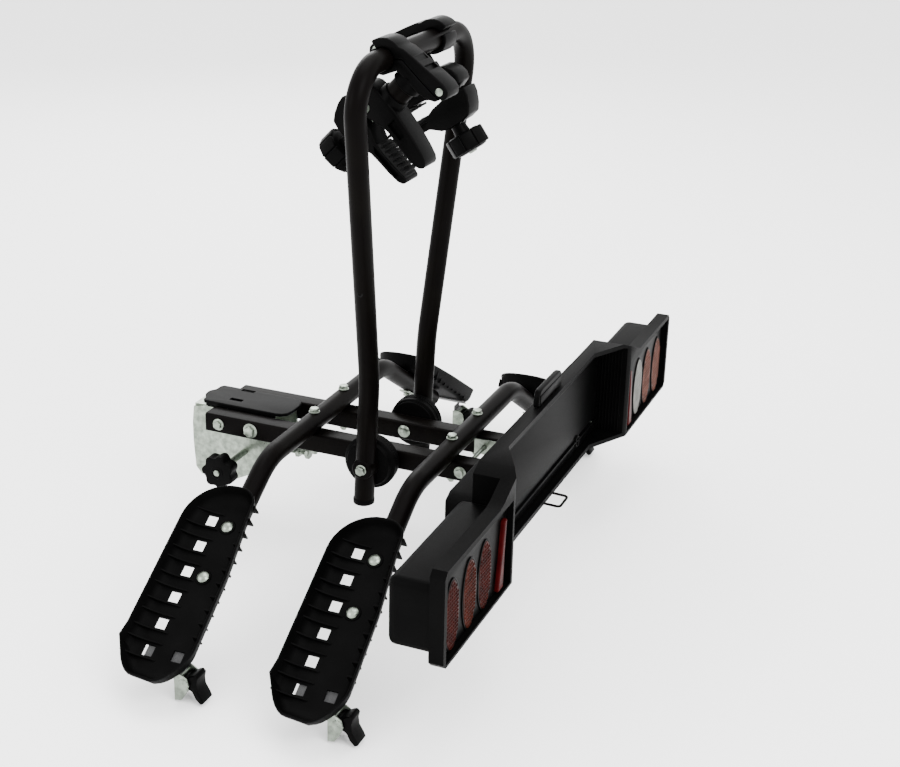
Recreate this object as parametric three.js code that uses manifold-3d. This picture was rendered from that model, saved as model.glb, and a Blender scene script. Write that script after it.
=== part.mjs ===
// Tow-ball bike rack for two bikes: two rails clamped to the ball, two bent cross arms with four wheel
// trays, a folding hoop with two frame holders, and a light board. Millimetres, +X to the right-hand side
// of the car, +Y towards the car, +Z up. Pieces are drawn around the rails' centre line and the root group
// then moves the centre of the tow ball to the origin.
import * as THREE from "three";
import { mergeVertices } from "three/addons/utils/BufferGeometryUtils.js";
import Module from "manifold-3d";

const wasm = await Module();
wasm.setup();

// ---------------------------------------------------------------- driving dimensions
const GAP = 0.3;
const BALL = { y: 52, z: -8, radius: 25 };
const RAIL = { inner: 35, outer: 65, half: 15, front: 45, back: -439 };
const ARM = { radius: 15, z: 30.3, bend: 197, bendRadius: 100, slope: 33, end: 250 };
const ARMS = [{ name: "front", y: -137 }, { name: "rear", y: -362 }];
const SIDES = [{ name: "left", sign: -1 }, { name: "right", sign: 1 }];
const TRAY = { start: 75, end: 371, half: 53.5, shift: 10, floor: 3, wall: 3, rim: 25, pitch: 41 };
const TRAY_BOLTS = [130, 211];
const HINGE = { y: -248, z: 0, leg: 104, outerRadius: 38.5, innerRadius: 34 };
const HOOP = { radius: 15, bottom: -52, kink: 135, top: 599, topHalf: 200, lean: -26, corner: 58 };
const HOLDERS = [{ name: "left", x: -89, turn: 44, sign: -1 }, { name: "right", x: 77, turn: 35, sign: 1 }];
const HOLDER = { half: 21, stud: 42, pin: [28, -66] };
const BOARD = { half: 499, bottom: -45, podTop: 88, midTop: 117, back: -538, mid: -500, skirt: 20 };
const BAIL = { left: -15, right: 23, root: -484, tip: -521, radius: 2.2 };
const POD = { inner: 262, shellFront: -468, shellBottom: -28, shellTop: 66 };

// ---------------------------------------------------------------- finishes
const FINISH = {
  tube: { color: 0x2a2a27, roughness: 0.42, metalness: 0.3 },
  plastic: { color: 0x1d1d1f, roughness: 0.6, metalness: 0 },
  zinc: { color: 0xb9c0b6, roughness: 0.35, metalness: 0.9 },
  webbing: { color: 0x262628, roughness: 0.9, metalness: 0 },
  lens: { color: 0x7a2f28, roughness: 0.15, metalness: 0 },
  panel: { color: 0x262728, roughness: 0.5, metalness: 0 },
};

const rack = new THREE.Group();
rack.position.set(0, -BALL.y, -BALL.z);

function addNode(name, geometry, finish) {
  const mesh = new THREE.Mesh(geometry, new THREE.MeshStandardMaterial(FINISH[finish]));
  mesh.name = name;
  rack.add(mesh);
}

// ---------------------------------------------------------------- solids
function toSolid(geometry) {
  const bare = geometry.clone();
  bare.deleteAttribute("normal");
  bare.deleteAttribute("uv");
  const merged = mergeVertices(bare, 1e-4);
  const mesh = new wasm.Mesh({
    numProp: 3,
    vertProperties: new Float32Array(merged.attributes.position.array),
    triVerts: new Uint32Array(merged.index.array),
  });
  return new wasm.Manifold(mesh);
}

function toGeometry(solid) {
  const mesh = solid.getMesh();
  const geometry = new THREE.BufferGeometry();
  geometry.setAttribute("position", new THREE.BufferAttribute(mesh.vertProperties, 3));
  geometry.setIndex(new THREE.BufferAttribute(mesh.triVerts, 1));
  geometry.computeVertexNormals();
  return geometry;
}

function join(...geometries) {
  return toGeometry(geometries.map(toSolid).reduce((sum, next) => sum.add(next)));
}

function cut(geometry, ...tools) {
  return toGeometry(tools.map(toSolid).reduce((rest, tool) => rest.subtract(tool), toSolid(geometry)));
}

function common(a, b) {
  return toGeometry(toSolid(a).intersect(toSolid(b)));
}

function box(x0, x1, y0, y1, z0, z1) {
  const geometry = new THREE.BoxGeometry(x1 - x0, y1 - y0, z1 - z0);
  return geometry.translate((x0 + x1) / 2, (y0 + y1) / 2, (z0 + z1) / 2);
}

// A cylinder along "x", "y" or "z" from one place on that axis to another; u and v are its centre.
function rod(axis, radius, from, to, u, v, sides = 20) {
  const geometry = new THREE.CylinderGeometry(radius, radius, Math.abs(to - from), sides);
  const middle = (from + to) / 2;
  if (axis === "x") {
    return geometry.rotateZ(Math.PI / 2).translate(middle, u, v);
  }
  if (axis === "y") {
    return geometry.translate(u, middle, v);
  }
  return geometry.rotateX(Math.PI / 2).translate(u, v, middle);
}

function shapeOf(points) {
  return new THREE.Shape(points.map(([a, b]) => new THREE.Vector2(a, b)));
}

// An outline in (y, z) pushed along X, in (x, z) along Y, or in (x, y) along Z.
function prism(axis, points, from, to) {
  const low = Math.min(from, to);
  const depth = Math.abs(to - from);
  const geometry = new THREE.ExtrudeGeometry(shapeOf(points), { depth, bevelEnabled: false });
  const turn = new THREE.Matrix4();
  if (axis === "x") {
    turn.set(0, 0, 1, low, 1, 0, 0, 0, 0, 1, 0, 0, 0, 0, 0, 1);
  } else if (axis === "y") {
    turn.set(1, 0, 0, 0, 0, 0, -1, low + depth, 0, 1, 0, 0, 0, 0, 0, 1);
  } else {
    turn.makeTranslation(0, 0, low);
  }
  return geometry.applyMatrix4(turn);
}

function arcPoints(cx, cy, radius, fromDegrees, toDegrees, steps) {
  const points = [];
  for (let i = 0; i <= steps; i += 1) {
    const angle = THREE.MathUtils.degToRad(fromDegrees + ((toDegrees - fromDegrees) * i) / steps);
    points.push([cx + radius * Math.cos(angle), cy + radius * Math.sin(angle)]);
  }
  return points;
}

// A path through stations, so that long straight runs cost one step and bends get the rest.
class StationPath extends THREE.Curve {
  constructor(stations) {
    super();
    this.stations = stations;
  }

  getUtoTmapping(u) {
    return u;
  }

  getPoint(t) {
    const last = this.stations.length - 1;
    const index = Math.min(Math.floor(t * last + 1e-9), last - 1);
    return this.stations[index].clone().lerp(this.stations[index + 1], t * last - index);
  }

  getTangent(t) {
    const last = this.stations.length - 1;
    const index = Math.round(t * last);
    const direction = new THREE.Vector3();
    for (const from of [index - 1, index]) {
      if (from >= 0 && from < last) {
        direction.add(this.stations[from + 1].clone().sub(this.stations[from]).normalize());
      }
    }
    return direction.normalize();
  }
}

// A round tube along straight runs whose corners are rounded to one radius each.
function bentTube(corners, bendRadii, radius, sides = 16, bendSteps = 6) {
  const stations = [corners[0]];
  for (let i = 1; i < corners.length - 1; i += 1) {
    const before = corners[i - 1].clone().sub(corners[i]).normalize();
    const after = corners[i + 1].clone().sub(corners[i]).normalize();
    const half = before.angleTo(after) / 2;
    const reach = bendRadii[i - 1] / Math.tan(half);
    const middle = before.clone().add(after).normalize();
    const centre = corners[i].clone().addScaledVector(middle, bendRadii[i - 1] / Math.sin(half));
    const start = corners[i].clone().addScaledVector(before, reach).sub(centre);
    const end = corners[i].clone().addScaledVector(after, reach).sub(centre);
    const axis = start.clone().cross(end).normalize();
    const sweep = start.angleTo(end);
    for (let step = 0; step <= bendSteps; step += 1) {
      stations.push(start.clone().applyAxisAngle(axis, (sweep * step) / bendSteps).add(centre));
    }
  }
  stations.push(corners.at(-1));
  const extrudePath = new StationPath(stations);
  const section = shapeOf(arcPoints(0, 0, radius, 0, 360 - 360 / sides, sides - 1));
  return new THREE.ExtrudeGeometry(section, {
    steps: stations.length - 1, extrudePath, bevelEnabled: false,
  });
}

// A hexagon-headed bolt along X: head at one end, plain shank, nut at the other, in one body.
function crossBolt(radius, y, z, head, tail, sign = 1) {
  const washer = 2.2 * radius;
  return join(
    rod("x", radius, sign * head.seat, sign * (tail.seat + tail.height), y, z, 16),
    rod("x", washer, sign * head.seat, sign * (head.seat - Math.sign(tail.seat - head.seat) * 2), y, z, 24),
    rod("x", 1.9 * radius, sign * head.seat, sign * head.end, y, z, 6),
    rod("x", 1.9 * radius, sign * tail.seat, sign * (tail.seat + tail.height), y, z, 6),
  );
}

// ---------------------------------------------------------------- rails
const ARM_BOLT_X = 50;
const CROSS_BOLTS = [
  { name: "front_cross_bolt", y: 22, radius: 4 },
  { name: "middle_cross_bolt", y: -34, radius: 5 },
  { name: "bracket_cross_bolt", y: -382, radius: 4 },
];

function makeRail(sign) {
  const inner = Math.min(sign * RAIL.inner, sign * RAIL.outer);
  const outer = Math.max(sign * RAIL.inner, sign * RAIL.outer);
  const skin = 2;
  const holes = CROSS_BOLTS.map((bolt) => rod("x", bolt.radius + GAP, -80, 80, bolt.y, 0, 16));
  const armHoles = ARMS.map((arm) => rod("z", 4.3, -20, 20, sign * ARM_BOLT_X, arm.y, 16));
  return cut(
    box(inner, outer, RAIL.back, RAIL.front, -RAIL.half, RAIL.half),
    box(inner + skin, outer - skin, RAIL.back - 1, RAIL.front + 1, -RAIL.half + skin, RAIL.half - skin),
    ...holes,
    ...armHoles,
    rod("x", 5.3, -80, 80, HINGE.y, HINGE.z, 16),
  );
}

for (const side of SIDES) {
  addNode(`rail_${side.name}`, makeRail(side.sign), "tube");
}

// ---------------------------------------------------------------- tow-ball coupling
const PLATE = { inner: 30.5, outer: 34.7 };
const CLAMP_ROD = { y: -5, z: -54, radius: 5, knobFace: -120, knobBack: -98 };
const STOP_BOLT = { x: 0, z: -52, radius: 5 };

function plateOutline() {
  return [
    [84, 8], [87, -20], [87, -52], [84, -96], [74, -108], [10, -104], [-30, -84], [-62, -60],
    [-66, -30], [-60, 12], [60, 12],
  ];
}

function makeCouplerPlate(sign) {
  const holes = CROSS_BOLTS.slice(0, 2).map((bolt) => rod("x", bolt.radius + GAP, -80, 80, bolt.y, 0, 16));
  return cut(
    prism("x", plateOutline(), sign * PLATE.inner, sign * PLATE.outer),
    ...holes,
    rod("x", CLAMP_ROD.radius + GAP, -80, 80, CLAMP_ROD.y, CLAMP_ROD.z, 16),
  );
}

function makeBallCup() {
  const socket = new THREE.SphereGeometry(BALL.radius + 0.5, 24, 16).translate(0, BALL.y, BALL.z);
  return cut(
    box(-PLATE.inner + GAP, PLATE.inner - GAP, 14, 84, BALL.z - 4, 12),
    socket,
    rod("z", BALL.radius + 0.5, -60, BALL.z, 0, BALL.y, 24),
    rod("x", 4 + GAP, -80, 80, 22, 0, 16),
  );
}

function makeCouplerCover() {
  const plan = [
    [-34, 70], [-22, 69], [-14, 75], [-6, 78], [6, 78], [14, 73], [26, 72], [33, 69],
    [33, -70], [24, -78], [-26, -78], [-33, -72],
  ];
  return cut(
    join(
      prism("z", plan, 16, 21),
      box(-33, -30, -60, 60, 12.5, 18),
      box(30, 33, -60, 60, 12.5, 18),
    ),
    box(-15, -8, 8, 32, 10, 30),
  );
}

function makeStopBlock() {
  return cut(
    box(-PLATE.inner + GAP, PLATE.inner - GAP, -60, -44, STOP_BOLT.z - 12, STOP_BOLT.z + 12),
    rod("y", STOP_BOLT.radius + GAP, -70, -30, STOP_BOLT.x, STOP_BOLT.z, 16),
  );
}

function makeStopBolt() {
  return join(
    rod("y", STOP_BOLT.radius, -12, -98, STOP_BOLT.x, STOP_BOLT.z, 16),
    rod("y", 9.5, -80, -86, STOP_BOLT.x, STOP_BOLT.z, 6),
    rod("y", 9.5, -97, -104, STOP_BOLT.x, STOP_BOLT.z, 6),
  );
}

function makeClampRod() {
  return join(
    rod("x", CLAMP_ROD.radius, CLAMP_ROD.knobFace - 3, 46, CLAMP_ROD.y, CLAMP_ROD.z, 16),
    rod("x", 9.5, 36, 44, CLAMP_ROD.y, CLAMP_ROD.z, 6),
  );
}

function starOutline(outer, inner, lobes, steps) {
  const points = [];
  const count = lobes * steps;
  for (let i = 0; i < count; i += 1) {
    const angle = (2 * Math.PI * i) / count;
    const reach = (outer + inner) / 2 + ((outer - inner) / 2) * Math.cos(lobes * angle);
    points.push([reach * Math.cos(angle), reach * Math.sin(angle)]);
  }
  return points;
}

function makeClampScrew() {
  const { y, z, knobFace, knobBack } = CLAMP_ROD;
  const outline = starOutline(27, 21, 7, 6).map(([a, b]) => [a + y, b + z]);
  return join(
    makeClampRod(),
    prism("x", outline, knobFace, knobBack),
    rod("x", 13, knobBack, knobBack + 12, y, z, 20),
  );
}

for (const side of SIDES) {
  addNode(`coupler_plate_${side.name}`, makeCouplerPlate(side.sign), "zinc");
}
addNode("ball_cup", makeBallCup(), "zinc");
addNode("coupler_cover", makeCouplerCover(), "plastic");
addNode("stop_block", makeStopBlock(), "zinc");
addNode("stop_bolt", makeStopBolt(), "zinc");
addNode("clamp_screw", makeClampScrew(), "plastic");
for (const bolt of CROSS_BOLTS) {
  const ends = [{ seat: -RAIL.outer - GAP, end: -RAIL.outer - 7 }, { seat: RAIL.outer + GAP, height: 6 }];
  addNode(bolt.name, crossBolt(bolt.radius, bolt.y, 0, ...ends), "zinc");
}

// ---------------------------------------------------------------- cross arms
const SLOPE = THREE.MathUtils.degToRad(ARM.slope);

// A point on an arm's sloping end: distance down the slope, offset along Y, and height above its axis.
function onSlope(sign, armY, along, across, above) {
  return new THREE.Vector3(
    sign * (ARM.bend + along * Math.cos(SLOPE) + above * Math.sin(SLOPE)),
    armY + across,
    ARM.z - along * Math.sin(SLOPE) + above * Math.cos(SLOPE),
  );
}

// Moves a piece drawn as (along, across, above) onto an arm's sloping end.
function placeOnSlope(geometry, sign, armY) {
  const origin = onSlope(sign, armY, 0, 0, 0);
  const along = onSlope(sign, armY, 1, 0, 0).sub(origin);
  const across = new THREE.Vector3(0, 1, 0);
  const above = onSlope(sign, armY, 0, 0, 1).sub(origin);
  const matrix = new THREE.Matrix4().makeBasis(along, across, above).setPosition(origin);
  const placed = geometry.clone().applyMatrix4(matrix);
  if (matrix.determinant() < 0) {
    placed.index ? flipIndexed(placed) : flipPlain(placed);
  }
  return placed;
}

function flipIndexed(geometry) {
  const index = geometry.index.array;
  for (let i = 0; i < index.length; i += 3) {
    [index[i + 1], index[i + 2]] = [index[i + 2], index[i + 1]];
  }
}

function flipPlain(geometry) {
  const position = geometry.attributes.position;
  for (let i = 0; i < position.count; i += 3) {
    for (const axis of ["X", "Y", "Z"]) {
      const kept = position[`get${axis}`](i + 1);
      position[`set${axis}`](i + 1, position[`get${axis}`](i + 2));
      position[`set${axis}`](i + 2, kept);
    }
  }
}

function makeArm(arm) {
  const corners = [
    onSlope(-1, arm.y, ARM.end, 0, 0),
    onSlope(-1, arm.y, 0, 0, 0),
    onSlope(1, arm.y, 0, 0, 0),
    onSlope(1, arm.y, ARM.end, 0, 0),
  ];
  const holes = [];
  for (const side of SIDES) {
    holes.push(rod("z", 4.3, 0, 60, side.sign * ARM_BOLT_X, arm.y, 12));
    for (const along of TRAY_BOLTS) {
      holes.push(placeOnSlope(rod("z", 3.4, -20, 20, along, 0, 12), side.sign, arm.y));
    }
  }
  return cut(bentTube(corners, [ARM.bendRadius, ARM.bendRadius], ARM.radius), ...holes);
}

function makeArmBolt(sign, armY) {
  const x = sign * ARM_BOLT_X;
  const crown = ARM.z + ARM.radius + GAP;
  return join(
    rod("z", 4, -24, crown + 6, x, armY, 12),
    rod("z", 7.5, crown, crown + 6, x, armY, 6),
    rod("z", 7.5, -RAIL.half - GAP - 6, -RAIL.half - GAP, x, armY, 6),
  );
}

for (const arm of ARMS) {
  addNode(`${arm.name}_arm`, makeArm(arm), "tube");
  for (const side of SIDES) {
    addNode(`${arm.name}_arm_bolt_${side.name}`, makeArmBolt(side.sign, arm.y), "zinc");
  }
}

// ---------------------------------------------------------------- wheel trays
const TRAY_BASE = ARM.radius + GAP;

function trayOutline(inset) {
  const half = TRAY.half - inset;
  const start = TRAY.start + inset;
  const end = TRAY.end - inset;
  return [
    ...arcPoints(start + 62, half - 62, 62, 180, 90, 6),
    [end - 60, half], [end - 30, half + 3],
    ...arcPoints(end - 30, half - 35, 30, 60, 0, 3),
    ...arcPoints(end - 40, -half + 36, 40, 0, -90, 5),
    [end - 160, -half], [start + 50, -half + 9],
    ...arcPoints(start + 28, -half + 37, 28, 250, 180, 4),
  ];
}

function makeTray() {
  const floorTop = TRAY_BASE + TRAY.floor;
  const windows = [];
  for (let i = 0; i < 6; i += 1) {
    const along = 125 + i * TRAY.pitch;
    windows.push(box(along - 8, along + 8, 9, 25, 0, 40));
  }
  windows.push(box(321, 337, -35, -19, 0, 40));
  const holes = TRAY_BOLTS.map((along) => rod("z", 3.4, 0, 40, along, -TRAY.shift, 12));
  return cut(
    prism("z", trayOutline(0), TRAY_BASE, TRAY_BASE + TRAY.rim),
    prism("z", trayOutline(TRAY.wall), floorTop, TRAY_BASE + TRAY.rim + 5),
    ...windows,
    ...holes,
  );
}

function makeTrayClamp() {
  const strap = box(TRAY_BOLTS[0] - 14, TRAY_BOLTS[1] + 14, -9, 9, -TRAY_BASE - 3, -TRAY_BASE);
  const head = TRAY_BASE + TRAY.floor + GAP;
  const studs = TRAY_BOLTS.flatMap((along) => [
    rod("z", 3, -TRAY_BASE - 3, head + 4, along, 0, 12),
    rod("z", 7, head, head + 4, along, 0, 12),
  ]);
  return join(strap, ...studs);
}

// ---------------------------------------------------------------- wheel straps and ratchets
const STRAP = { from: 319, to: 343, thick: 2.4, reach: 44 };
const RATCHET = { x: 481, across: -20, top: -150, bottom: -192, half: 15, cheek: 2, depth: 20 };
const RATCHET_AXLE = { across: -33, z: -164, radius: 4 };

// The webbing crosses under the tray and drops into the ratchet's frame, which hangs below it.
function makeStrap(sign, arm) {
  const under = TRAY_BASE - GAP;
  const band = box(STRAP.from, STRAP.to, -STRAP.reach, STRAP.reach / 2, under - STRAP.thick, under);
  const trayRoom = box(0, TRAY.end * 2, -TRAY.half * 2, TRAY.half * 2, under, under + TRAY.half);
  const { x, across, top, bottom, half, cheek, depth } = RATCHET;
  const middle = sign * x;
  const back = arm.y + across;
  const hung = join(
    placeOnSlope(band, sign, arm.y + TRAY.shift),
    box(middle - half + cheek, middle + half - cheek, back - cheek, back + cheek, bottom, -128),
    box(middle - half, middle - half + cheek, back - depth, back + cheek, bottom, top),
    box(middle + half - cheek, middle + half, back - depth, back + cheek, bottom, top),
  );
  return cut(hung, placeOnSlope(trayRoom, sign, arm.y));
}

function makeLever(sign, arm) {
  const { x, half, cheek, depth, across } = RATCHET;
  const middle = sign * x;
  const room = half - cheek - GAP;
  const y = arm.y + RATCHET_AXLE.across;
  const z = RATCHET_AXLE.z;
  const rear = arm.y + across - depth;
  const blade = [
    [y, z + 4], [rear - 6, z + 15], [rear - 12, z + 12], [rear - 9, z - 4], [rear - 20, z - 24],
    [rear - 14, z - 28], [rear - 4, z - 14], [y, z - 4],
  ];
  return join(
    rod("x", RATCHET_AXLE.radius + 4, middle - room, middle + room, y, z, 16),
    prism("x", blade, middle - room, middle + room),
  );
}

for (const arm of ARMS) {
  for (const side of SIDES) {
    const name = `${arm.name}_${side.name}`;
    const middle = arm.y + TRAY.shift;
    addNode(`tray_${name}`, placeOnSlope(makeTray(), side.sign, middle), "plastic");
    addNode(`tray_clamp_${name}`, placeOnSlope(makeTrayClamp(), side.sign, arm.y), "zinc");
    addNode(`strap_${name}`, makeStrap(side.sign, arm), "webbing");
    addNode(`ratchet_lever_${name}`, makeLever(side.sign, arm), "plastic");
  }
}

// ---------------------------------------------------------------- hoop and hinges
function hoopPoint(x, z) {
  return new THREE.Vector3(x, HINGE.y + (HOOP.lean * (z - HINGE.z)) / (HOOP.top - HINGE.z), z);
}

function makeHoop() {
  const corners = [
    hoopPoint(-HINGE.leg, HOOP.bottom), hoopPoint(-HINGE.leg, HOOP.kink), hoopPoint(-HOOP.topHalf, HOOP.top),
    hoopPoint(HOOP.topHalf, HOOP.top), hoopPoint(HINGE.leg, HOOP.kink), hoopPoint(HINGE.leg, HOOP.bottom),
  ];
  const tube = bentTube(corners, [240, HOOP.corner, HOOP.corner, 240], HOOP.radius);
  return cut(tube, rod("x", 5.3, -130, 130, HINGE.y, HINGE.z, 12));
}

function makeHingeDisc(sign) {
  const { y, z, leg, outerRadius } = HINGE;
  const legRoom = bentTube([hoopPoint(sign * leg, -60), hoopPoint(sign * leg, 60)], [], HOOP.radius + GAP);
  return cut(
    rod("x", outerRadius, sign * 78.5, sign * 97, y, z, 32),
    legRoom,
    rod("x", 5.3, -130, 130, y, z, 12),
  );
}

function makeHingeBase(sign) {
  const { y, z, innerRadius } = HINGE;
  const base = join(
    rod("x", innerRadius, sign * (RAIL.outer + GAP), sign * 72, y, z, 32),
    rod("x", innerRadius + 3, sign * 70, sign * 78.2, y, z, 32),
  );
  return cut(base, rod("x", 5.3, -130, 130, y, z, 12));
}

function makeHingeBolt(sign) {
  const head = HINGE.leg + HOOP.radius + GAP;
  return join(
    rod("x", 5, sign * (RAIL.inner - 3), sign * (head + 6), HINGE.y, HINGE.z, 12),
    rod("x", 9, sign * head, sign * (head + 6), HINGE.y, HINGE.z, 6),
    rod("x", 9.5, sign * (RAIL.inner - 4), sign * (RAIL.inner - GAP), HINGE.y, HINGE.z, 20),
  );
}

addNode("hoop", makeHoop(), "tube");
for (const side of SIDES) {
  addNode(`hinge_disc_${side.name}`, makeHingeDisc(side.sign), "plastic");
  addNode(`hinge_base_${side.name}`, makeHingeBase(side.sign), "plastic");
  addNode(`hinge_bolt_${side.name}`, makeHingeBolt(side.sign), "zinc");
}

// ---------------------------------------------------------------- frame holders
const BAR = hoopPoint(0, HOOP.top);

// Holder pieces are drawn around the top bar: along the fingers, out from them, and along X.
function placeHolder(geometry, holder) {
  const turn = THREE.MathUtils.degToRad(holder.turn);
  const along = new THREE.Vector3(0, holder.sign * Math.cos(turn), -Math.sin(turn));
  const out = new THREE.Vector3(0, holder.sign * Math.sin(turn), Math.cos(turn));
  const width = new THREE.Vector3().crossVectors(along, out);
  const matrix = new THREE.Matrix4().makeBasis(along, out, width);
  matrix.setPosition(holder.x, BAR.y, BAR.z);
  return geometry.clone().applyMatrix4(matrix);
}

function slab(points, half) {
  const geometry = new THREE.ExtrudeGeometry(shapeOf(points), { depth: 2 * half, bevelEnabled: false });
  return geometry.translate(0, 0, -half);
}

function post(radius, from, to, along, sides = 24) {
  const geometry = new THREE.CylinderGeometry(radius, radius, Math.abs(to - from), sides);
  return geometry.translate(along, (from + to) / 2, 0);
}

function hoopJawUpper() {
  return slab([
    ...arcPoints(0, 0, 29, 172, 80, 8), [12, 33], [66, 37], [78, 33], [80, 22],
    [18, 21], ...arcPoints(0, 0, 15.4, 52, 172, 8),
  ], HOLDER.half);
}

function hoopJawLower() {
  const jaw = slab([
    ...arcPoints(0, 0, 15.4, 46, -172, 14), ...arcPoints(0, 0, 21, -172, -40, 8),
    [26, 8], [64, 8], [76, 14], [80, 21.6], [18, 20.6],
  ], HOLDER.half);
  return cut(join(jaw, post(20.5, -8, 9, HOLDER.stud)), post(17.8, -20, 4, HOLDER.stud));
}

function holderTube() {
  return post(17.5, -33.7, 3.7, HOLDER.stud);
}

// The pin across the fixed jaw's slot, on which the moving jaw tips.
function jawPin(radius) {
  const pin = new THREE.CylinderGeometry(radius, radius, 2 * HOLDER.half - 4, 12);
  return pin.rotateX(Math.PI / 2).translate(...HOLDER.pin, 0);
}

function bikeJawFixed() {
  const outline = [
    [10, -38], [26, -37], [70, -37], [121, -45], [135, -49], [141, -57], [134, -65], [100, -68],
    [62, -64], [48, -70], [36, -76], [10, -76], [-4, -70], [-3, -54],
  ];
  const body = join(slab(outline, HOLDER.half), post(20.5, -40, -26, HOLDER.stud));
  const hollowed = cut(
    body,
    post(17.8, -34, -20, HOLDER.stud),
    slab([[32, -40], [54, -40], [54, -90], [32, -90]], 5),
    slab([[12, -54], [44, -54], [44, -90], [12, -90]], 6.5),
  );
  return join(hollowed, jawPin(4));
}

function bikeJawMoving() {
  const outline = [
    [-5, -79], [38, -79], [56, -82], [70, -88], [94, -90], [130, -88], [138, -91], [137, -97],
    [129, -101], [97, -103], [76, -103], [60, -116], [24, -119], [9, -116], [1, -100],
  ];
  const ribs = [];
  for (let along = 76; along <= 128; along += 8.6) {
    ribs.push(slab([[along, -90], [along + 4, -90], [along + 3, -85], [along + 1, -85]], HOLDER.half - 3));
  }
  const ear = slab(arcPoints(...HOLDER.pin, 10, 0, 345, 23), 5.8);
  const neck = slab([[18, -66], [38, -66], [38, -84], [18, -84]], 5.8);
  return cut(
    join(slab(outline, HOLDER.half), ...ribs, ear, neck),
    post(5.5, -130, -60, HOLDER.stud, 12),
    jawPin(4 + GAP),
  );
}

function holderKnob() {
  const grip = new THREE.ExtrudeGeometry(shapeOf(starOutline(30, 27.5, 10, 4)), {
    depth: 29, bevelEnabled: false,
  });
  grip.rotateX(Math.PI / 2).translate(HOLDER.stud, -133, 0);
  return join(
    grip,
    post(4, -134, -50, HOLDER.stud, 12),
    post(11, -124, -119.3, HOLDER.stud),
  );
}

const HOLDER_PIECES = [
  ["hoop_jaw_upper", hoopJawUpper, "plastic"],
  ["hoop_jaw_lower", hoopJawLower, "plastic"],
  ["holder_tube", holderTube, "tube"],
  ["bike_jaw_fixed", bikeJawFixed, "plastic"],
  ["bike_jaw_moving", bikeJawMoving, "plastic"],
  ["holder_knob", holderKnob, "plastic"],
];
for (const holder of HOLDERS) {
  for (const [name, make, finish] of HOLDER_PIECES) {
    addNode(`${name}_${holder.name}`, placeHolder(make(), holder), finish);
  }
}

// ---------------------------------------------------------------- light board
function boardOutline(inset) {
  const { half, bottom, podTop, midTop } = BOARD;
  return [
    [-half + inset, bottom + inset], [half - inset, bottom + inset], [half - inset, podTop - inset],
    [302 + inset / 2, podTop - inset], [246 + inset / 2, midTop - inset],
    [-246 - inset / 2, midTop - inset], [-302 - inset / 2, podTop - inset], [-half + inset, podTop - inset],
  ];
}

// The board's plan: level at the pods, then slanting forward to the middle.
function boardPlan(back, front) {
  const { half, back: podBack, mid } = BOARD;
  const line = (offset) => [
    [-half, podBack + offset], [-POD.inner, podBack + offset], [-190, mid + offset],
    [190, mid + offset], [POD.inner, podBack + offset], [half, podBack + offset],
  ];
  return [...line(back), ...line(front).reverse()];
}

function makeBoardHousing() {
  const { half, skirt } = BOARD;
  const { inner, shellFront, shellBottom, shellTop } = POD;
  const skirtBody = common(
    prism("y", boardOutline(0), -545, -440),
    prism("z", boardPlan(0, skirt), -80, 150),
  );
  const podBox = [];
  const hollows = [];
  for (const side of SIDES) {
    const [x0, x1] = [side.sign * (inner - 4), side.sign * half].sort((a, b) => a - b);
    podBox.push(box(x0, x1, -524, shellFront, shellBottom, shellTop));
    const [h0, h1] = [side.sign * (inner + 6), side.sign * (half - 8)].sort((a, b) => a - b);
    hollows.push(box(h0, h1, -545, -528, -42, 80));
    hollows.push(box(h0, h1, -530, shellFront + 3, shellBottom + 3, shellTop - 3));
  }
  const panelRoom = common(
    prism("y", boardOutline(7), -545, -484),
    box(-inner + 4, inner - 4, -545, -484, -60, 130),
  );
  const middle = box(-268, 268, -490, -440, -24, 68);
  return cut(
    join(skirtBody, ...podBox, middle),
    ...hollows,
    panelRoom,
    box(-264, -6, -479, -443, -40, 64),
    box(6, 264, -479, -443, -40, 64),
  );
}

function lampUnit(sign) {
  const [x0, x1] = [sign * 268.3, sign * 490.7].sort((a, b) => a - b);
  const pieces = [box(x0, x1, -532, -528.3, -41.7, 79.7)];
  for (const x of [346, 398, 455]) {
    const oval = new THREE.CylinderGeometry(1, 1, 5, 24).scale(21, 1, 48);
    pieces.push(oval.translate(sign * x, -533.5, 8));
  }
  const strip = [sign * 280, sign * 299].sort((a, b) => a - b);
  pieces.push(box(...strip, -535, -530, -39, 60));
  return join(...pieces);
}

function makePlatePanel() {
  return common(
    prism("y", boardOutline(7.4), -487.7, -484.3),
    box(-POD.inner + 4.4, POD.inner - 4.4, -488, -484, -60, 130),
  );
}

function makeBoardBracket() {
  const tongue = (x0, x1) => box(x0, x1, -438, -366, -12, 12);
  return cut(
    join(
      tongue(-34.7, -31.7),
      tongue(31.7, 34.7),
      box(-34.7, 34.7, -438, -435, -12, 12),
    ),
    rod("x", 4.3, -80, 80, -382, 0, 16),
  );
}

function makeBail() {
  const corner = (x, y) => new THREE.Vector3(x, y, BOARD.bottom - BAIL.radius - GAP);
  const { left, right, root, tip, radius } = BAIL;
  const wire = [corner(left, root), corner(left, tip), corner(right, tip), corner(right, root)];
  return bentTube(wire, [6, 6], radius, 8, 3);
}

addNode("light_board_housing", makeBoardHousing(), "plastic");
addNode("number_plate_panel", makePlatePanel(), "panel");
addNode("plate_lamp", box(-52, 52, -496, -482, BOARD.midTop + GAP, BOARD.midTop + 26), "plastic");
addNode("board_bracket", makeBoardBracket(), "zinc");
addNode("wire_bail", makeBail(), "zinc");
for (const side of SIDES) {
  addNode(`lamp_unit_${side.name}`, lampUnit(side.sign), "lens");
}

export default rack;
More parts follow.
